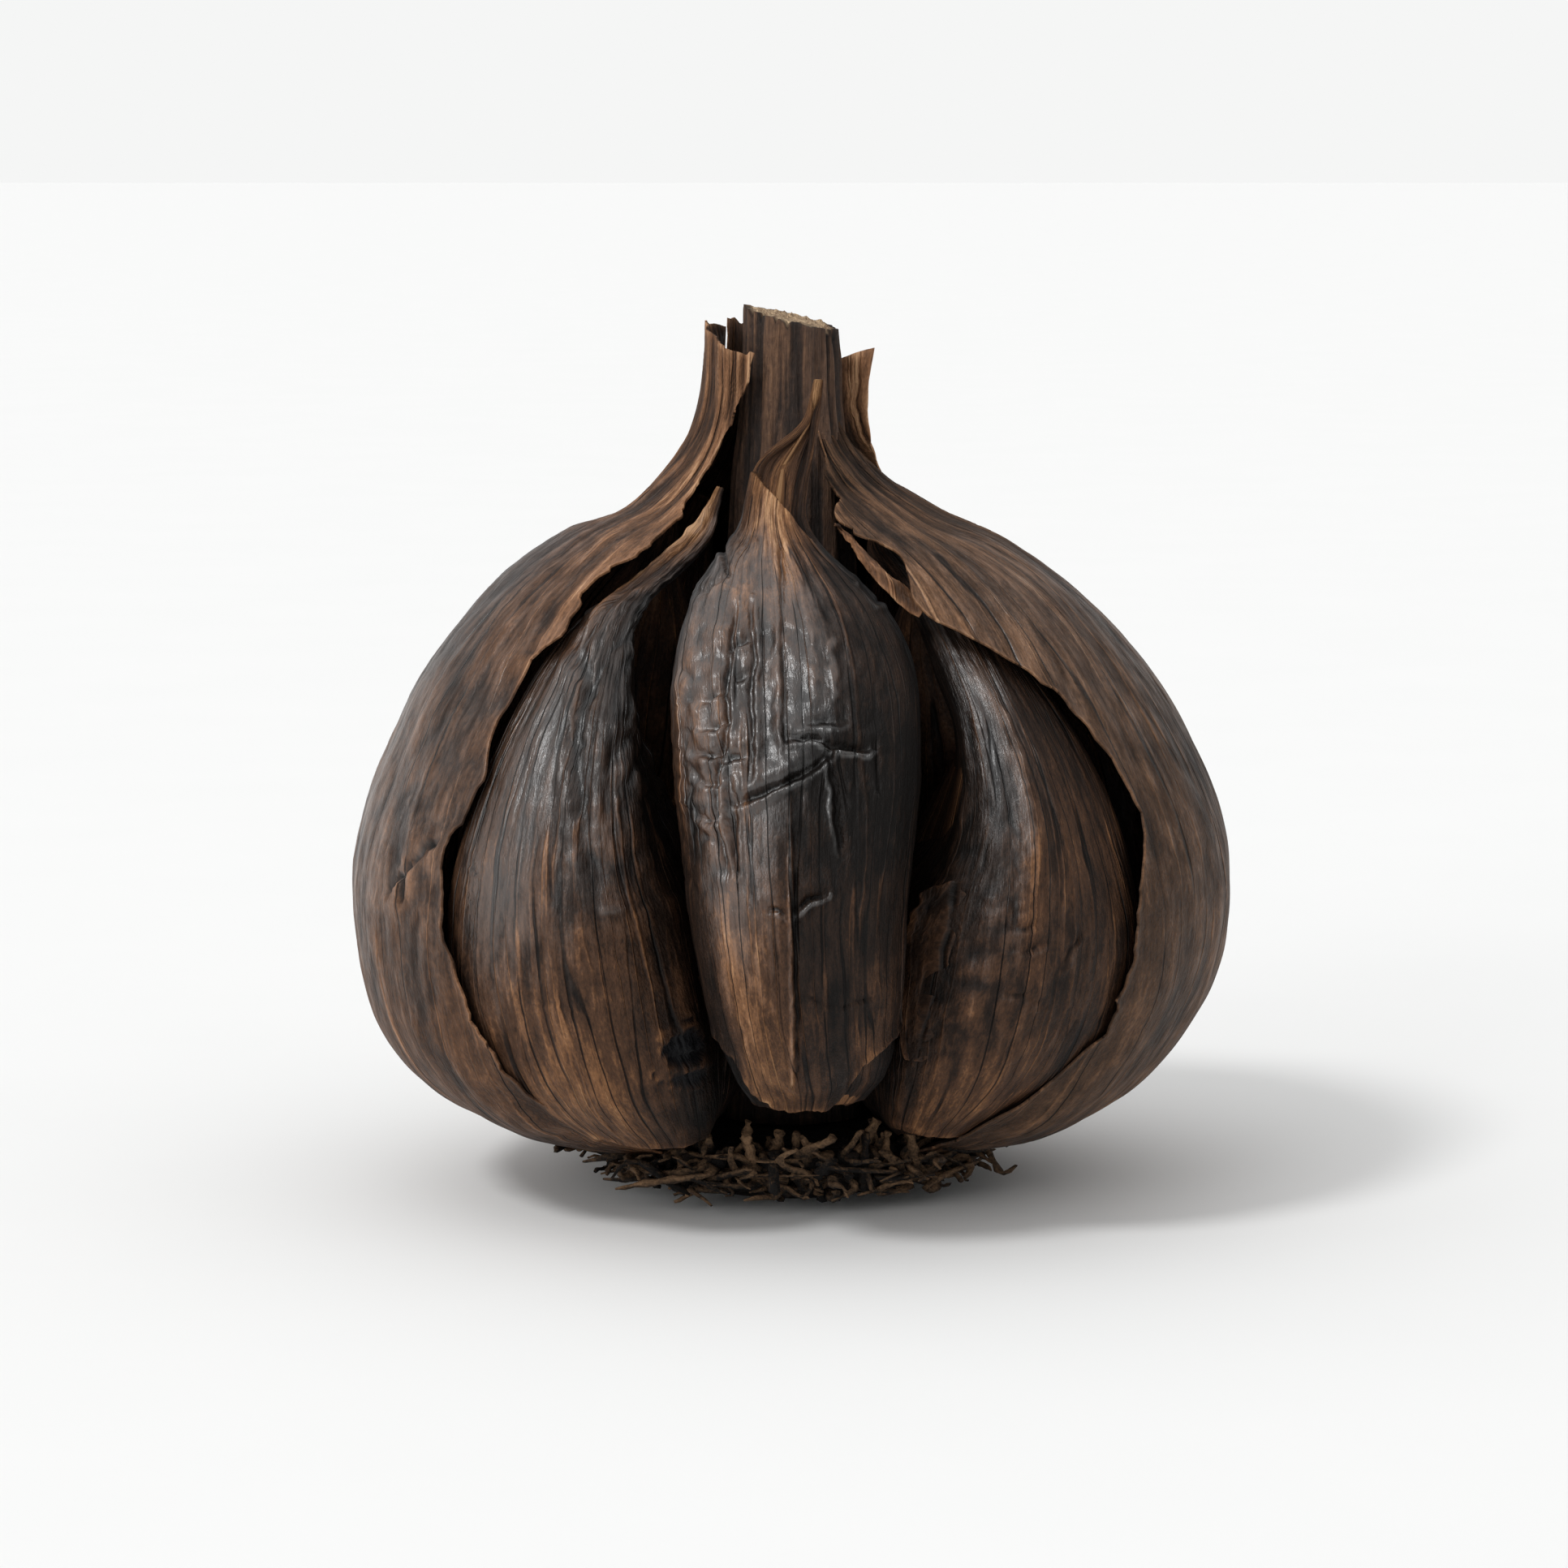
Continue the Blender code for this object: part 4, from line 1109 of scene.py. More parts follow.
left_marks = marks("""
    0.40 0.42  0.6 38.6  2.2 37  3.6 35.4
    0.34 0.36  2.2 40.3  3.4 35.5  4.2 32.8  5.8 29.7  7 26.3  8.3 23.7
    0.26 0.20  5 38  6 33  7.4 28
    0.20 0.16  6.2 37  7.2 32  8.2 28
    -0.26 0.26  1 47.6  0.8 45.5  0.4 43.3  -0.4 42.1  0 41  0.6 38.9
    -0.20 0.22  1.3 47.2  1.75 44.6  1.6 42.7  1.1 41.6  1.2 40.6
    0.30 0.16  1.1 46.6  1.2 44.6  0.9 43  0.4 41.9  0.6 40.6  1.1 38.6
    0.10 0.10  -4 31  -3.2 31.3  -2.6 31.1
    0.16 0.12  -1.6 24.8  -0.9 24.2  -0.3 24.4
    0.14 0.10  -1.4 22.8  -0.9 22.3
    0.10 0.10  3.4 17.6  4.6 16.8  5.8 17  6.8 16.2
    0.08 0.09  -2.2 34  -2.6 28  -2.9 20  -2.2 12
    0.09 0.09  1.6 33  1.9 27  1.8 20  2.2 12
    -0.07 0.09  -0.4 20  -0.2 14  0.6 9
    -0.08 0.09  -4.6 33  -5.4 26  -5.2 17
    -0.08 0.09  3.6 29  4.2 22  4.2 12
""")
left_hem = [(-12, 7.0), (-4, 5.8), (0, 6.0), (2.2, 7.0), (4, 6.4), (6.0, 6.2), (12, 9)]
left_bare = [((10.4, 13.2), (0.9, 2.2)), ((10.1, 10.9), (1.0, 2.0))]
make_skin("front_left", front_left, 17, (180, 220), (-60, 120), 0.03, {
    "warmth": "4443321 4455411 3344421 3333321 3343211 5553211 7776422",
    "grey": "1111111 1211012 2221123 2221122 1110234 0000345 0000144",
    "gloss": "0000000 1111000 1332111 2694425 2795467 1356567 1122333",
    "crumple": "0000000 0000000 0011100 0021355 0010256 0000232 0000000",
    "swell": "4555421 6887531 5876421 2565321 0343210 0011000 0000000",
}, left_marks, left_hem, left_bare)

# %% [markdown]
# ### The clove on its right
# Darker, with one narrow shining strip where it turns away, fine wrinkles in the shade, and a small patch
# of bare flesh at its foot.

# %% Front right clove
RIGHT_BELLY = [
    *CLOVE_BELLY[:4], (8.5, 21.4), (15.0, 27.0), (17.0, 32.0), (15.0, 36.6), (11.8, 40.8), *CLOVE_BELLY[9:],
]
RIGHT_HALF_WIDTH = [1.0, 4.9, 7.0, 7.8, 7.5, 6.2, 5.0, 3.5, 2.2, 1.3, 0.8, 0.5]
RIGHT_BEND = [0, -1.0, -1.8, -2.3, -2.4, -2.4, -2.2, -1.8, -1.0, -0.4, 0, 0]
front_right = Clove(47.5, CLOVE_BACK, RIGHT_BELLY, RIGHT_HALF_WIDTH, RIGHT_BEND, OPEN_SECTOR)
right_marks = marks("""
    0.24 0.12  -8.6 17.5  -7.4 17.3  -6.4 16.6
    0.20 0.12  -5.3 19  -4.9 20  -4.2 20.8
    0.24 0.13  -8.7 21.8  -7.8 21.4  -7 21.8
    0.24 0.13  -8.4 20.4  -7.6 20.1  -6.8 20.5
    0.20 0.12  -8.6 23.4  -7.8 23.2  -7.2 23.6
    0.20 0.24  -6.5 33  -7.6 26  -8.2 21
    -0.24 0.42  -4.6 38  -5.4 33.5  -6.4 29  -7 25.4
    0.09 0.09  -3 36  -2.6 30  -3.2 22  -3.4 14
    0.09 0.09  -1.2 35  -0.2 29  -0.6 21  -1 13
    -0.07 0.09  0.6 33  1.6 27  1.4 20  0.6 12
    -0.08 0.09  -4.4 28  -4.7 21  -4.4 12
    -0.08 0.09  3 30  3.8 24  3.4 15
""")
right_hem = [(-12, 10.0), (-7.5, 7.2), (-3, 6.0), (4, 5.6), (12, 7)]
right_bare = [((-10.5, 13.4), (0.5, 2.1))]
make_skin("front_right", front_right, 27, (180, 220), (-120, 60), 0.03, {
    "warmth": "1233333 1354333 1243333 1233333 1122333 2223333 4433333",
    "grey": "1100111 1001111 1101222 1101233 1001233 1112222 0011111",
    "gloss": "0000000 0010000 0121000 0242000 0364000 0253000 0121100",
    "crumple": "0000000 0211000 0652000 0431100 0110000 0000000 0000000",
    "swell": "0000000 1245665 1357887 1246543 0134310 0011100 0000000",
}, right_marks, right_hem, right_bare)

# %% [markdown]
# ### The other five cloves
# The leaves cover these, but their skins are finished all the same, from one shared table and with a seed
# each.

# %% Covered cloves
COVERED = {"right": 91.5, "back_right": 136.0, "back": 180.5, "back_left": 225.5, "left": 271.0}
for number, (label, azimuth) in enumerate(COVERED.items()):
    clove = Clove(azimuth, CLOVE_BACK, CLOVE_BELLY, CLOVE_HALF_WIDTH)
    make_skin(label, clove, 100 + 9 * number, (60, 64), (-90, 90), 0.06, {
        "warmth": "222 353 354 243 343 333 333", "grey": "222 232 232 343 232 222 111",
        "gloss": "000 010 121 242 131 010 000", "crumple": "000 010 020 131 020 010 000",
    })

# %% [markdown]
# ### The flesh
# Black garlic flesh is soft and sticky, so it gets a dark, slightly mottled finish with a wet shine, which
# shows only through gaps. The solid cloves under the leaves keep their own shape, because nobody sees them.
# The three in the opening are made again from their skins' forms, a little smaller, so that no flesh pokes
# through a fold or a hem.

# %% Flesh finish
def black_flesh():
    material, wire = start("black_flesh")
    mottle, fine = lumps(wire, 0.9, 4.0), lumps(wire, 4.0, 2.0)
    colour = mottle.between(0.35, 0.65).mixed(shade(14, 12, 11), shade(30, 24, 21))
    return finished(material, surface(wire, colour, 0.30 + fine * 0.25, mottle + fine * 0.3, 0.2))


flesh = black_flesh()
for node_name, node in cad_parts.items():
    if node_name.startswith("clove_") and not node_name.startswith("clove_skin"):
        node.material_slots[0].material = flesh
print("flesh finish on the solid cloves:", flesh.name)

# %% Flesh in the opening
FLESH_FOOT = 0.12
FLESH_TAPER = 0.7


def make_flesh(label, clove, top, columns=72, rows=60):
    """The flesh of a clove between two shares of its length, rounded off at the top."""
    name = f"flesh_{label}"
    angle = (2 * np.pi * np.arange(columns) / columns)[None, :]
    share = np.linspace(FLESH_FOOT, top, rows)[:, None]
    middle = clove.middle(share)
    size = np.clip(1 - (BAG_THICKNESS + 0.25) / clove.girth(share), 0.1, 0.92)
    size = size * (1 - ((share - FLESH_FOOT) / (top - FLESH_FOOT)) ** 8 * FLESH_TAPER)
    dents = 0.04 * layers(len(name), 3, angle * CLOVE_TUBE / 3, share * clove.length / 4)
    points = middle + (clove.point(share, angle) - middle) * (size - abs(dents))[..., None]
    new_tube(name, settle(points), {}, flesh, "black_flesh", [f"clove_{label}"])


make_flesh("front", front, 0.66)
make_flesh("front_left", front_left, 0.58)
make_flesh("front_right", front_right, 0.58)

# %% [markdown]
# ## The stalk
# The stalk is the bundle of the inner leaves, dried into a fluted column of coarse fibres and cut off at a
# slant. The cut end is pale, because it is the only fresh surface on the bulb, and its rim is a little dark
# and chipped where fibres broke off. Its grooves and chips are painted darker as shade.

# %% Stalk finish
def stalk_fibre():
    material, wire = start("stalk_fibre")
    grain = wavering(wire, 3.0, 0.3)
    bands = grainy(grain, 0.8, 18.0, 3.0)
    fibres = grainy(grain, 0.22, 5.0, 5.0, 0.65)
    specks = grainy(grain, 0.4, 0.7, 4.0, 0.65)
    # Grooves and chips are painted darker as shade, on the side and on the cut face.
    cut, hollow = painted(wire, "cut"), painted(wire, "hollow")
    tone = painted(wire, "warmth") + bands * 0.10 + fibres * 0.55 + specks * 0.45 - hollow * 0.30
    side = wire.node("ValToRGB", {"stops": {
        0.00: (14, 9, 7), 0.28: (44, 30, 22), 0.52: (86, 61, 44), 0.75: (130, 96, 70), 1.00: (178, 142, 108),
    }}, {"Fac": tone})
    face = (specks * 1.6 + fibres * 0.9 + 0.5 - hollow * 0.9).between(0.1, 0.9)
    face = face.mixed(shade(104, 76, 54), shade(230, 200, 162))
    height = bands * 0.6 + fibres * 0.9 + specks * 0.5
    return finished(material, surface(wire, cut.mixed(side, face), 0.70 - fibres * 0.4, height, 0.34, 0.4))


stalk_finish = stalk_fibre()
print("stalk finish:", stalk_finish.name)

# %% [markdown]
# ### The stalk's form
# It is turned like the solid one and then carved: flutes between its leaf layers, and coarse fibres over
# them. One grid runs up the side, over the rim and across the cut to its middle.

# %% Stalk
STALK_OUTLINE = [(4.8, 4.7), (5.0, 12.0), (4.9, 28.0), (4.5, 40.0), (3.9, 48.0), (3.35, 53.5), (3.1, 59.4)]
STALK_DEPTH, FLUTES, TURN_SIZE = 0.87, 7, 1.6
STALK_LEAN = np.array([0.05, -0.5, 0.0])
CUT_SLOPE = np.array([-0.24, 0.07])


def make_stalk(columns=170, side_rows=120, cut_rows=22):
    angle = (2 * np.pi * np.arange(columns) / columns)[None, :]
    level = np.concatenate([np.linspace(0, 1, side_rows) ** 0.8, np.ones(cut_rows)])[:, None]
    inward = np.concatenate([np.zeros(side_rows), np.linspace(0, 1, cut_rows + 1)[1:] * 0.995])[:, None]
    turn_x, turn_y = TURN_SIZE * np.cos(angle), TURN_SIZE * np.sin(angle)
    outline = curve(STALK_OUTLINE, level)
    grooves = 0.14 * np.cos(FLUTES * angle + 1.5 * noise(60, turn_x, turn_y)) * level
    valleys = 0.42 - cushions(61, 3, turn_x * 2.1, turn_y * 2.1, level * 1.6)
    grooves = grooves - 0.75 * valleys * (0.3 + 0.7 * level)
    fibres = 0.16 * (cushions(71, 2, turn_x * 6, turn_y * 6, level * 4) - 0.4)
    radius = (outline[..., 0] + grooves * 0.8 + fibres) * (1 - inward)
    chips = smooth((cushions(81, 2, turn_x * 2.4, turn_y * 2.4) - 0.35) / 0.5) * 0.9
    drop = chips * np.clip(1 - inward * 4.0, 0, 1) * level**30
    torn_face = 0.34 * layers(91, 3, radius * turn_x * 0.9, radius * turn_y * 0.9)
    torn_face = torn_face + 0.3 * (cushions(95, 2, inward * 8, turn_x * 3, turn_y * 3) - 0.4)
    sides = np.stack([radius * np.cos(angle), radius * STALK_DEPTH * np.sin(angle)], -1)
    height = outline[..., 1] + (sides @ CUT_SLOPE) * level**12 - drop + torn_face * smooth(inward * 4) * 0.6
    points = np.concatenate([sides, height[..., None]], -1) + STALK_LEAN * (level**3)[..., None]
    rim = bump_at(inward - 0.03, 0.05) * level**30
    paint = {
        "warmth": 0.44 + 0.10 * level**4 + 0.12 * noise(66, turn_x, turn_y, level * 2) - 0.1 * rim,
        # Painted shade in the grooves, and in the chips of the rim.
        "hollow": smooth(0.5 - (grooves + fibres) / 0.32) * (1 - smooth(inward * 6)) + 0.5 * rim * chips,
        "cut": smooth((inward - 0.05) / 0.08) * smooth(1.1 - 0.5 * chips),
        "grain": np.concatenate([sides, (height * (1 - smooth(inward * 5)) + 30 * inward)[..., None]], -1),
    }
    paint = {label: np.broadcast_to(v, height.shape + v.shape[2:]) for label, v in paint.items()}
    new_tube("stalk_column", points, paint, stalk_finish, "stalk_fibre", ["stalk"])


make_stalk()

# %% [markdown]
# ## Scraps of an inner leaf
# Two small scraps of skin cling to the sides of the cloves beside the front one. Each starts sunk in its
# clove, lies along it, and lifts over the valley towards the front clove. They are sheets, as the leaves
# are.

# %% Scraps
SCRAP_THICKNESS, SCRAP_RIM = 0.28, 0.112
SCRAP_HUG = 0.45  # how far round the clove a scrap lies, in radians
SCRAP_SUNK = 1.5


def make_scrap(label, clove, angle, shares, reach, lift, slant, seed, tables):
    """Reach and lift, in mm, go from a scrap's lower end to its upper one."""
    x, up = np.linspace(0, 1, 50)[None, :], np.linspace(0, 1, 100)[:, None]
    tall = shares[1] - shares[0]
    share = shares[0] + tall * up + (0.012 * ragged(seed, x * 4) - slant * x) * up
    away = unit(clove.point(share, angle + 0 * x) - clove.middle(share))
    along = share * clove.length
    reached = np.maximum(value(reach, up) + 1.1 * ragged(seed + 3, up * tall * clove.length), 0.3)
    hug = np.copysign(SCRAP_HUG, angle)
    followed = clove.point(share, angle + hug * smooth(np.minimum(x / 0.5, 1) * 0.5) * 2)
    onward = unit(clove.point(share, angle + hug) - clove.point(share, angle + hug * 0.9))
    sunk = (value(lift, up) + SCRAP_SUNK) * smooth(x * 2) - SCRAP_SUNK
    outer = followed + away * sunk[..., None] + onward * (reached * np.maximum(x - 0.4, 0) / 0.6)[..., None]
    wave = 0.20 * layers(seed + 5, 3, x * 2.5, along / 2.5) + 0.25 * x**3 * noise(seed + 9, up * 5, 0.5)
    outer = outer + away * (wave * smooth(x * 3))[..., None]
    if (facing(outer) * away).sum() < 0:
        outer, x, wave = outer[:, ::-1], x[:, ::-1], wave[:, ::-1]
    border = np.minimum((1 - x) * value(reach, up), np.minimum(up, 1 - up) * 9)
    paint = {name: paint_table(table, x, up + 0 * x) for name, table in tables.items()}
    # The scrap's waves are painted darker as shade.
    paint.update(hollow=smooth(-wave / 0.25) * 0.6, edge=0.5 * np.exp(-border / 0.22))
    paint["grain"] = np.stack(np.broadcast_arrays(x * 4, x * 0.0, along), -1)
    thickness = SCRAP_RIM + (SCRAP_THICKNESS - SCRAP_RIM) * smooth(border / 0.8)
    outer = settle(outer)
    inner = outer - facing(outer) * thickness[..., None]
    new_sheet(f"scrap_{label}", outer, inner, paint, skin_leather, f"skin_scrap_{label}")


make_scrap("left", front_left, np.radians(88), (0.14, 0.30), [0.6, 1.0, 0.8, 0.4], [0.3, 0.5], 0.0, 51, {
    "warmth": "11 21 12", "grey": "11 22 11", "gloss": "00 22 00",
})
RIGHT_REACH = [0.8, 1.6, 2.2, 2.6, 2.2]
make_scrap("right", front_right, np.radians(-62), (0.20, 0.43), RIGHT_REACH, [0.5, 0.7], 0.03, 57, {
    "warmth": "333 323 332 222", "grey": "111 121 211 111", "gloss": "000 010 111 000",
})

# %% [markdown]
# ## A curled strip
# Beside the right leaf's edge a narrow strip has torn free. It hooks over at its top and rolls back under
# the leaf at its foot, so a hole like a lens is left between the two. Its middle line is a path of azimuths
# and shares on the leaves' outline.

# %% Strip
STRIP_PATH = [
    (29.5, 0.612), (27.2, 0.622), (25.0, 0.634), (22.9, 0.646), (21.2, 0.66), (20.2, 0.678), (20.0, 0.698),
    (20.2, 0.714), (18.6, 0.725), (16.4, 0.725),
]
STRIP_HALF_WIDTH = [2.0, 2.4, 2.5, 2.3, 2.0, 1.7, 1.4, 1.1, 0.8, 0.4]
STRIP_LENGTH, STRIP_THICKNESS = 14, 0.25


def make_strip():
    x, up = np.linspace(0, 1, 36)[None, :], np.linspace(0, 1, 130)[:, None]
    middle = curve(STRIP_PATH, up)
    degrees = np.degrees(1.0) / curve(WRAPPER_OUTLINE, middle[..., 1])[..., 0]
    width = value(STRIP_HALF_WIDTH, up) * 1.8 + 0.7 * ragged(141, up * STRIP_LENGTH) * degrees
    azimuth = middle[..., 0] + (x - 0.5) * width
    rolled = 2 * x - 1
    inset = 0.35 + 0.75 * smooth(1 - 2.2 * up) - 0.5 * smooth((up - 0.8) / 0.2)
    inset = inset + 0.55 * rolled**2 * smooth(1.3 - up) + 0.16 * layers(151, 3, x * 2, up * 7)
    outer = settle(leaf_ground(azimuth, middle[..., 1] + 0.006 * rolled * smooth(1 - up), inset))
    border = np.minimum(np.minimum(x, 1 - x) * width / degrees, (1 - up) * STRIP_LENGTH)
    paint = {
        "warmth": 0.48 + 0.2 * noise(152, x * 3, up * 7), "gloss": 0.1 + 0 * azimuth,
        # On the strip these darker patches are random, not shade.
        "hollow": smooth(0.3 - 1.2 * noise(153, x * 2.5, up * 6)) * 0.5, "edge": np.exp(-border / 0.22),
        "grain": on_circle(azimuth, GRAIN_TUBE, middle[..., 1] * leaf_length),
    }
    inner = outer - facing(outer) * (STRIP_THICKNESS * (0.5 + 0.5 * smooth(border)))[..., None]
    new_sheet("strip_right", outer, inner, paint, left_leather, "skin_strip_right")


make_strip()

# %% [markdown]
# ## The root plate
# The plate is the true stem of the bulb, a hard disc that everything grows from. It is turned like the
# solid one, with knobs where roots broke off. It stands on a small flat spot, and its underside rounds up
# from there.

# %% Root finish
def root_fibre(name, dark, light):
    material, wire = start(name)
    specks, fine = lumps(wire, 1.3, 5.0, 0.65) - 0.5, lumps(wire, 5.0, 3.0) - 0.5
    tone = (painted(wire, "warmth") + specks * 1.3 + fine * 0.7).between(0.0, 1.0)
    return finished(material, surface(
        wire, tone.mixed(shade(*dark), shade(*light)), 0.85 - specks * 0.3, specks + fine * 0.6, 0.3, 0.3
    ))


plate_crust = root_fibre("plate_crust", (12, 9, 7), (48, 35, 26))
root_skin = root_fibre("root_skin", (13, 9, 7), (134, 104, 76))
print("root finishes:", plate_crust.name, "and", root_skin.name)

# %% Root plate
PLATE_OUTLINE = [
    (0.02, 4.4), (8.5, 4.4), (11.0, 4.3), (11.8, 3.8), (11.4, 2.8), (9.6, 1.4), (6.0, 0), (0.02, 0),
]
KNOB_SIZE = 1.6


def make_plate(columns=120, rows=60):
    """A turned disc with knobs; its rows run from the middle underneath, out and up to the middle on top."""
    x, up = (np.arange(columns) / columns)[None, :], np.linspace(1, 0, rows)[:, None]
    outline = curve(PLATE_OUTLINE, up)
    radius, height = outline[..., 0], np.maximum(outline[..., 1], 0)
    turn_x, turn_y = np.cos(2 * np.pi * x), np.sin(2 * np.pi * x)
    wild = smooth((height - 0.05) / 0.5) * smooth(radius / 6)
    swollen = cushions(201, 3, radius * turn_x / KNOB_SIZE, radius * turn_y / KNOB_SIZE, height / 1.4)
    knobs = 0.8 * (swollen - 0.6) * wild
    points = on_circle(360 * x, radius + knobs, height + 0.4 * knobs * smooth((height - 3) / 1))
    points[..., 2] = np.maximum(points[..., 2], 0)
    # The plate's colour follows its knobs: darker in the dents between them, a painted shade, and lighter on
    # them.
    new_tube("plate", points, {"warmth": 0.3 + knobs * 0.5}, plate_crust, "root_fibre", ["root_plate"])


make_plate()

# %% [markdown]
# ## The roots
# A garlic bulb grows a tuft of roots as thick as string. Dried, they shrink to brittle curls in a dense
# mat, and many have snapped to short stubs that stand up between the cloves. Each one here is a tapering,
# slightly flattened tube along its own curled path, drawn from a list of random numbers with a fixed seed,
# so that it is the same each time. Particle hair would be quicker to comb, but it doesn't give a mesh.

# %% Strands
STRAND_SIDES, STRAND_STEPS = 7, 12
FLATTENED, ROUGHNESS = 0.6, 0.22
along_strand = np.linspace(0, 1, STRAND_STEPS)[None, :]


def strands(name, paths, width, light, nodes):
    """One piece of closed tubes along paths (strands x steps x 3), with a width and a lightness per step."""
    count, rng = len(paths), np.random.default_rng(len(name))
    forward = unit(np.gradient(paths, axis=1))
    side = unit(np.cross(forward, np.array([0.31, 0.17, 0.93])))
    lift = np.cross(side, forward)
    turn = 2 * np.pi * np.arange(STRAND_SIDES) / STRAND_SIDES
    ring = side[:, :, None] * np.cos(turn)[:, None] + lift[:, :, None] * np.sin(turn)[:, None] * FLATTENED
    rough = 1 + ROUGHNESS * rng.normal(0, 1, (count, STRAND_STEPS, STRAND_SIDES, 1))
    points = paths[:, :, None] + ring * width[:, :, None, None] * rough
    points[..., 2] = np.maximum(points[..., 2], 0.01)
    index = ring_index(STRAND_STEPS, STRAND_SIDES)
    starts = np.arange(count) * STRAND_STEPS * STRAND_SIDES
    sides = (quads(index)[None] + starts[:, None, None]).reshape(-1, 4)
    lids = [row + first for first in starts for row in (index[0, :-1][::-1], index[-1, :-1])]
    # Each strand is painted lighter on its upper side and darker underneath, a painted shade from the lamps
    # above.
    warmth = light[:, :, None] + 0.30 * ring[..., 2]
    new_piece(name, points, sides, lids, {"warmth": warmth}, root_skin, "root_fibre", nodes)


def dice(seed, count):
    """Two ways to draw a number for each strand: evenly between two limits, or bunched round 0."""
    rng = np.random.default_rng(seed)

    def pick(low, high):
        return rng.uniform(low, high, (count, 1))

    def bunch(steps=1):
        return rng.normal(0, 1, (count, steps))

    return pick, bunch


print("each strand has", STRAND_STEPS * STRAND_SIDES, "points")

# %% [markdown]
# ### The mat and its tails
# Both layers of the mat start on rings round the plate's side and droop outwards. A few longer tails reach
# out of it. All ranges are lowest and highest values in millimetres.

# %% The mat
def mat_of_roots(name, count, seed, start_radius, start_height, reach, end_height, thick, curl, numbers=()):
    """Curled strands that start on a ring round the plate's side."""
    pick, bunch = dice(seed, count)
    azimuth = (np.arange(count)[:, None] + pick(-0.6, 0.6)) * 360 / count
    swing = bunch() * curl * along_strand**1.3
    swing = swing + bunch() * curl * 0.35 * np.sin(along_strand * pick(3, 9))
    sideways = 0.7 + 0.3 * abs(np.sin(np.radians(azimuth)))
    radius = pick(*start_radius) + pick(*reach) * sideways * along_strand
    radius = radius + 0.4 * bunch() * np.sin(along_strand * pick(2, 7))
    low, high = pick(*end_height), pick(*start_height)
    height = high + (low - high) * along_strand**1.3 + 0.4 * bunch() * np.sin(along_strand * pick(3, 9))
    width = pick(*thick) * (1.0 - 0.7 * along_strand**2.2) * (1 + 0.15 * bunch(STRAND_STEPS))
    light = np.clip(0.14 + 0.15 * bunch() + 0.22 * along_strand, 0, 1)
    height = np.maximum(height, width + 0.6 * smooth((radius - 6) / 6))
    nodes = [f"root_{number:02d}" for number in numbers]
    strands(name, on_circle(azimuth + swing, radius, height), width, light, nodes)


lower, upper = range(1, 16), range(16, 31)
mat_of_roots("roots_lower", 150, 5, (8.5, 11.8), (0.9, 2.6), (0.8, 4.2), (1.0, 2.8), (0.30, 0.50), 11, lower)
mat_of_roots("roots_upper", 170, 6, (10.0, 12.4), (2.4, 4.6), (0.8, 4.6), (1.6, 4.8), (0.28, 0.54), 12, upper)
mat_of_roots("root_tails", 16, 8, (11.0, 12.6), (2.4, 4.0), (2.6, 5.2), (1.2, 2.6), (0.34, 0.50), 9)

# %% [markdown]
# ### The stubs
# Stubs of snapped roots start higher on the plate, stand up against the feet of the cloves and end bluntly.

# %% The stubs
def make_stubs(count=110):
    """Short blunt strands that stand up between the feet of the cloves."""
    pick, bunch = dice(9, count)
    azimuth = (np.arange(count)[:, None] + pick(-0.7, 0.7)) * 360 / count
    swing = 5 * bunch() * along_strand
    radius = pick(9.6, 12.4) + pick(-0.2, 2.2) * along_strand**0.8
    height = pick(2.4, 3.6) + pick(1.4, 3.4) * along_strand + 0.25 * bunch() * np.sin(along_strand * 5)
    width = pick(0.34, 0.58) * (1.0 - 0.35 * along_strand) * (1 + 0.15 * bunch(STRAND_STEPS))
    light = np.clip(0.12 + 0.18 * bunch() + 0.38 * along_strand, 0, 1)
    strands("root_stubs", on_circle(azimuth + swing, radius, height), width, light, [])


make_stubs()

# %% [markdown]
# ## Studio
# The bulb stands on a plain pale floor that reaches far behind it. A narrow key light from the front left
# gives the crisp highlights, and a lower one reaches under the leaves. The strongest lamp is a very wide
# one overhead, and a weak fill opens the shadows on the left. Sun lamps light every spot of a large floor
# alike, and a wide angle makes their shadows soft. The world is dim overhead and nearly as pale as the
# floor near the horizon, so that only a faint line shows between them.

# %% Floor
FLOOR_REACH = 10.0


def pale_floor():
    material, wire = start("pale_floor")
    mottle = lumps(wire, 40.0 * MM, 3.0)
    colour = mottle.mixed((0.83, 0.835, 0.83, 1.0), (0.85, 0.852, 0.848, 1.0))
    return finished(material, surface(wire, colour, 0.88 + mottle * 0.05, mottle, 0.02))


floor_mesh = bpy.data.meshes.new("floor")
corners = [(x * FLOOR_REACH, y * FLOOR_REACH, 0.0) for x, y in ((-1, -1), (1, -1), (1, 1), (-1, 1))]
floor_mesh.from_pydata(corners, [], [(0, 1, 2, 3)])
floor_mesh.materials.append(pale_floor())
floor = bpy.data.objects.new("floor", floor_mesh)
bpy.context.scene.collection.objects.link(floor)
print("floor:", 2 * FLOOR_REACH, "m wide")

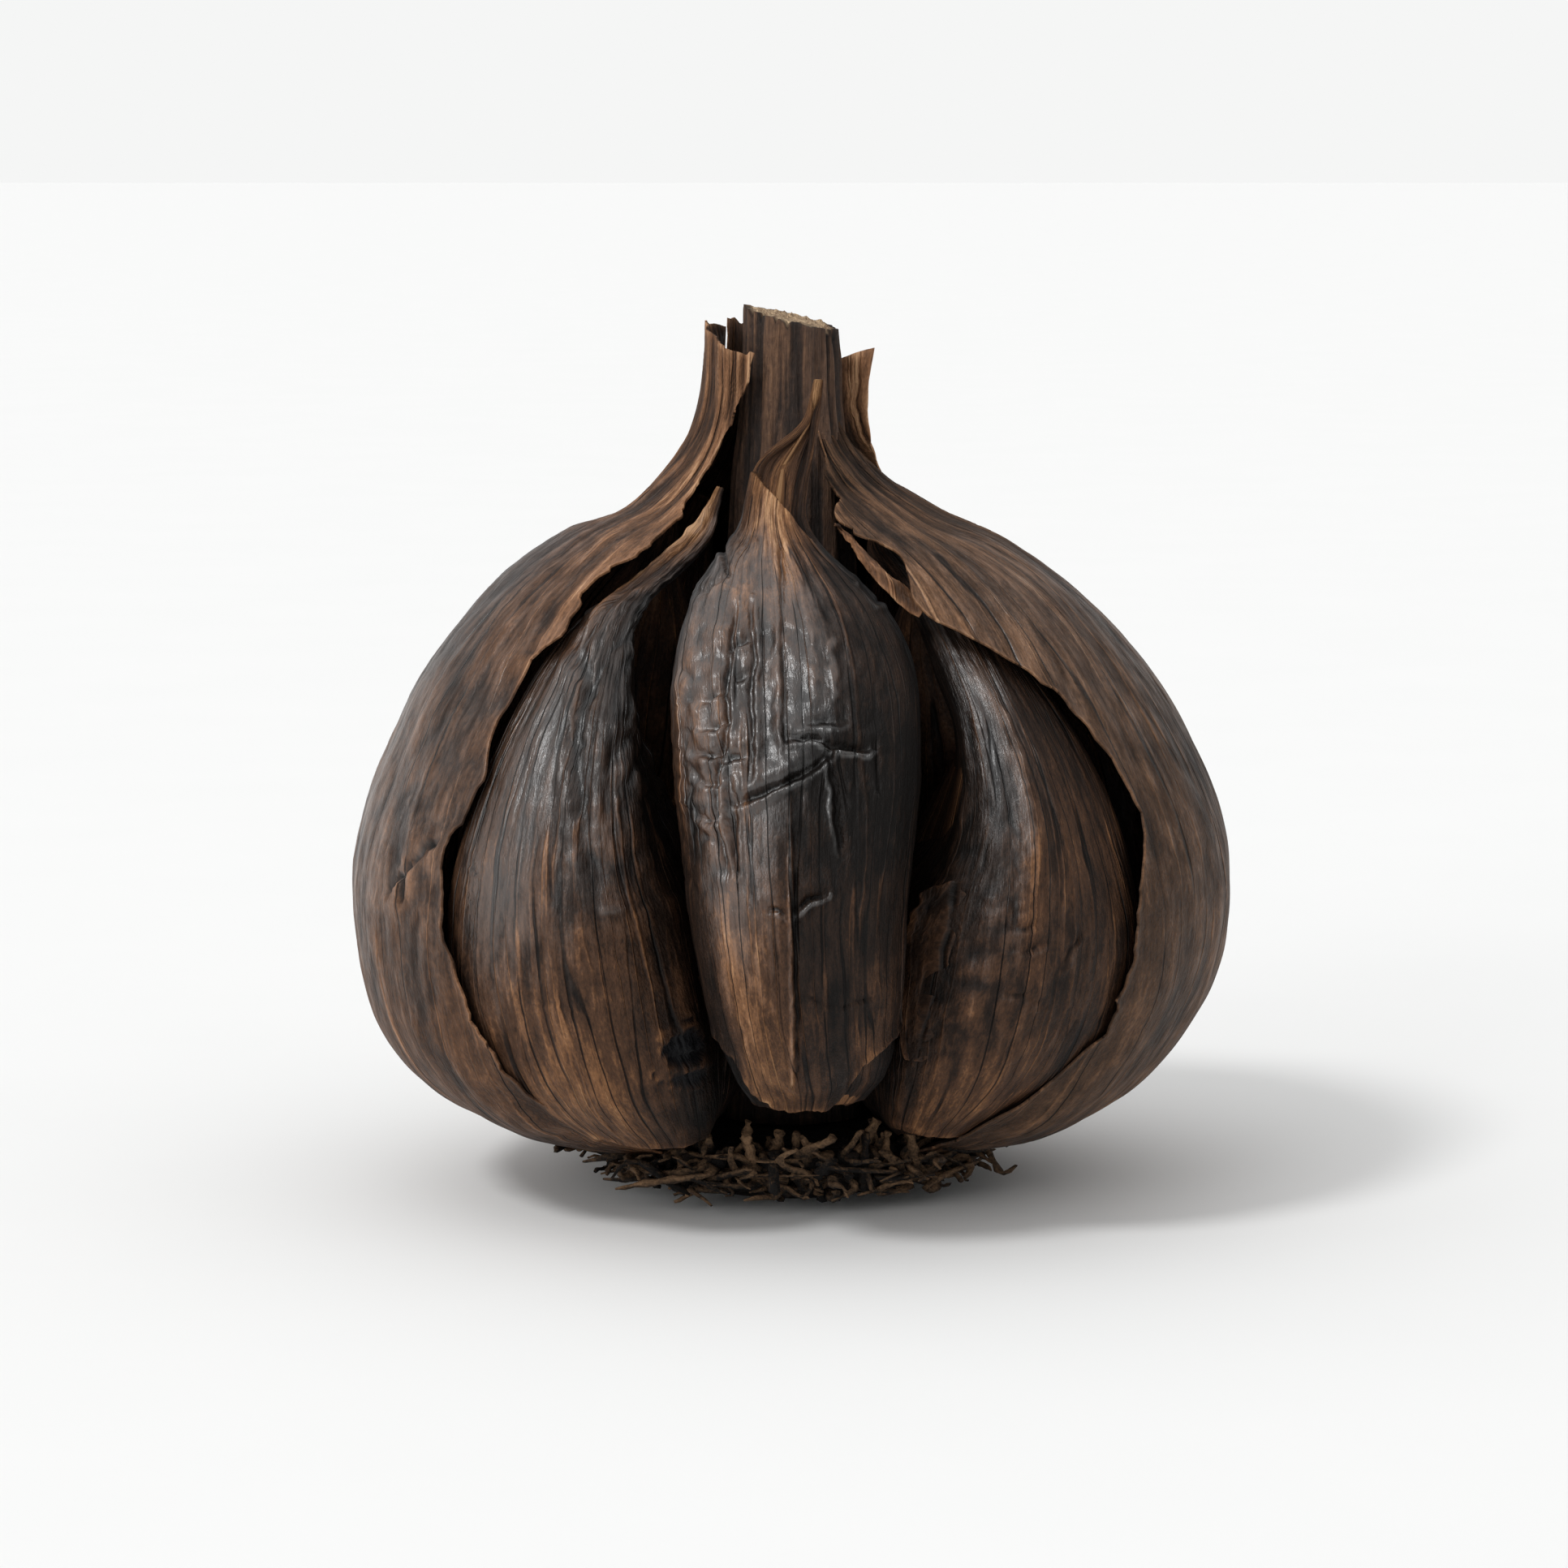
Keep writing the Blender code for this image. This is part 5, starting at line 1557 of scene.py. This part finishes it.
# %% Lights
def soft_sun(name, azimuth, elevation, spread, strength):
    """A sun lamp that shines from an azimuth and elevation, in degrees."""
    lamp = bpy.data.lights.new(name, "SUN")
    lamp.energy, lamp.angle = strength, np.radians(spread)
    made = bpy.data.objects.new(name, lamp)
    away = on_circle(azimuth, np.cos(np.radians(elevation)), np.sin(np.radians(elevation)))
    made.rotation_euler = Vector(away.tolist()).to_track_quat("Z", "Y").to_euler()
    bpy.context.scene.collection.objects.link(made)


soft_sun("key", -48, 48, 12, 1.15)
soft_sun("low_key", -36, 18, 26, 0.5)
soft_sun("overhead", -40, 80, 125, 1.36)
soft_sun("fill", -95, 34, 125, 0.45)

# %% World
DIM, PALE = (0.31, 0.31, 0.31, 1), (0.915, 0.92, 0.915, 1)
world = bpy.data.worlds.new("studio")
bpy.context.scene.world = world
world.use_nodes = True
world.node_tree.nodes.clear()
sky = Wire(world.node_tree)
direction = sky.node("TexCoord", output=0)
steepness = sky.node("SeparateXYZ", None, {"Vector": direction}, 2)
band = 1 - steepness.math("ABSOLUTE", steepness).between(0.06, 0.20)
backdrop = sky.node("Background", None, {"Color": band.mixed(DIM, PALE)})
sky.node("OutputWorld", None, {"Surface": backdrop})
bpy.context.scene.view_settings.view_transform = "Standard"
print("world:", world.name)

# %% [markdown]
# ## Camera
# The camera looks at the bulb from slightly above, from a third of a metre away, and aims a little below
# its middle.

# %% Camera
CAMERA_DISTANCE, CAMERA_ELEVATION = 330, 7.5
VIEW_WIDTH = 107.33  # of the plane through the target
TARGET_SHIFT = Vector((-0.49, -0.16, -2.47))
camera_data = bpy.data.cameras.new("camera")
camera_data.lens = camera_data.sensor_width * CAMERA_DISTANCE / VIEW_WIDTH
camera = bpy.data.objects.new("camera", camera_data)
target = (cad_low + cad_high) / 2 + TARGET_SHIFT * MM
tilt = np.radians(CAMERA_ELEVATION)
camera.location = target + Vector((0, -np.cos(tilt), np.sin(tilt))) * CAMERA_DISTANCE * MM
camera.rotation_euler = (np.pi / 2 - tilt, 0, 0)
bpy.context.scene.collection.objects.link(camera)
bpy.context.scene.camera = camera
print("camera lens:", round(camera_data.lens, 1), "mm")
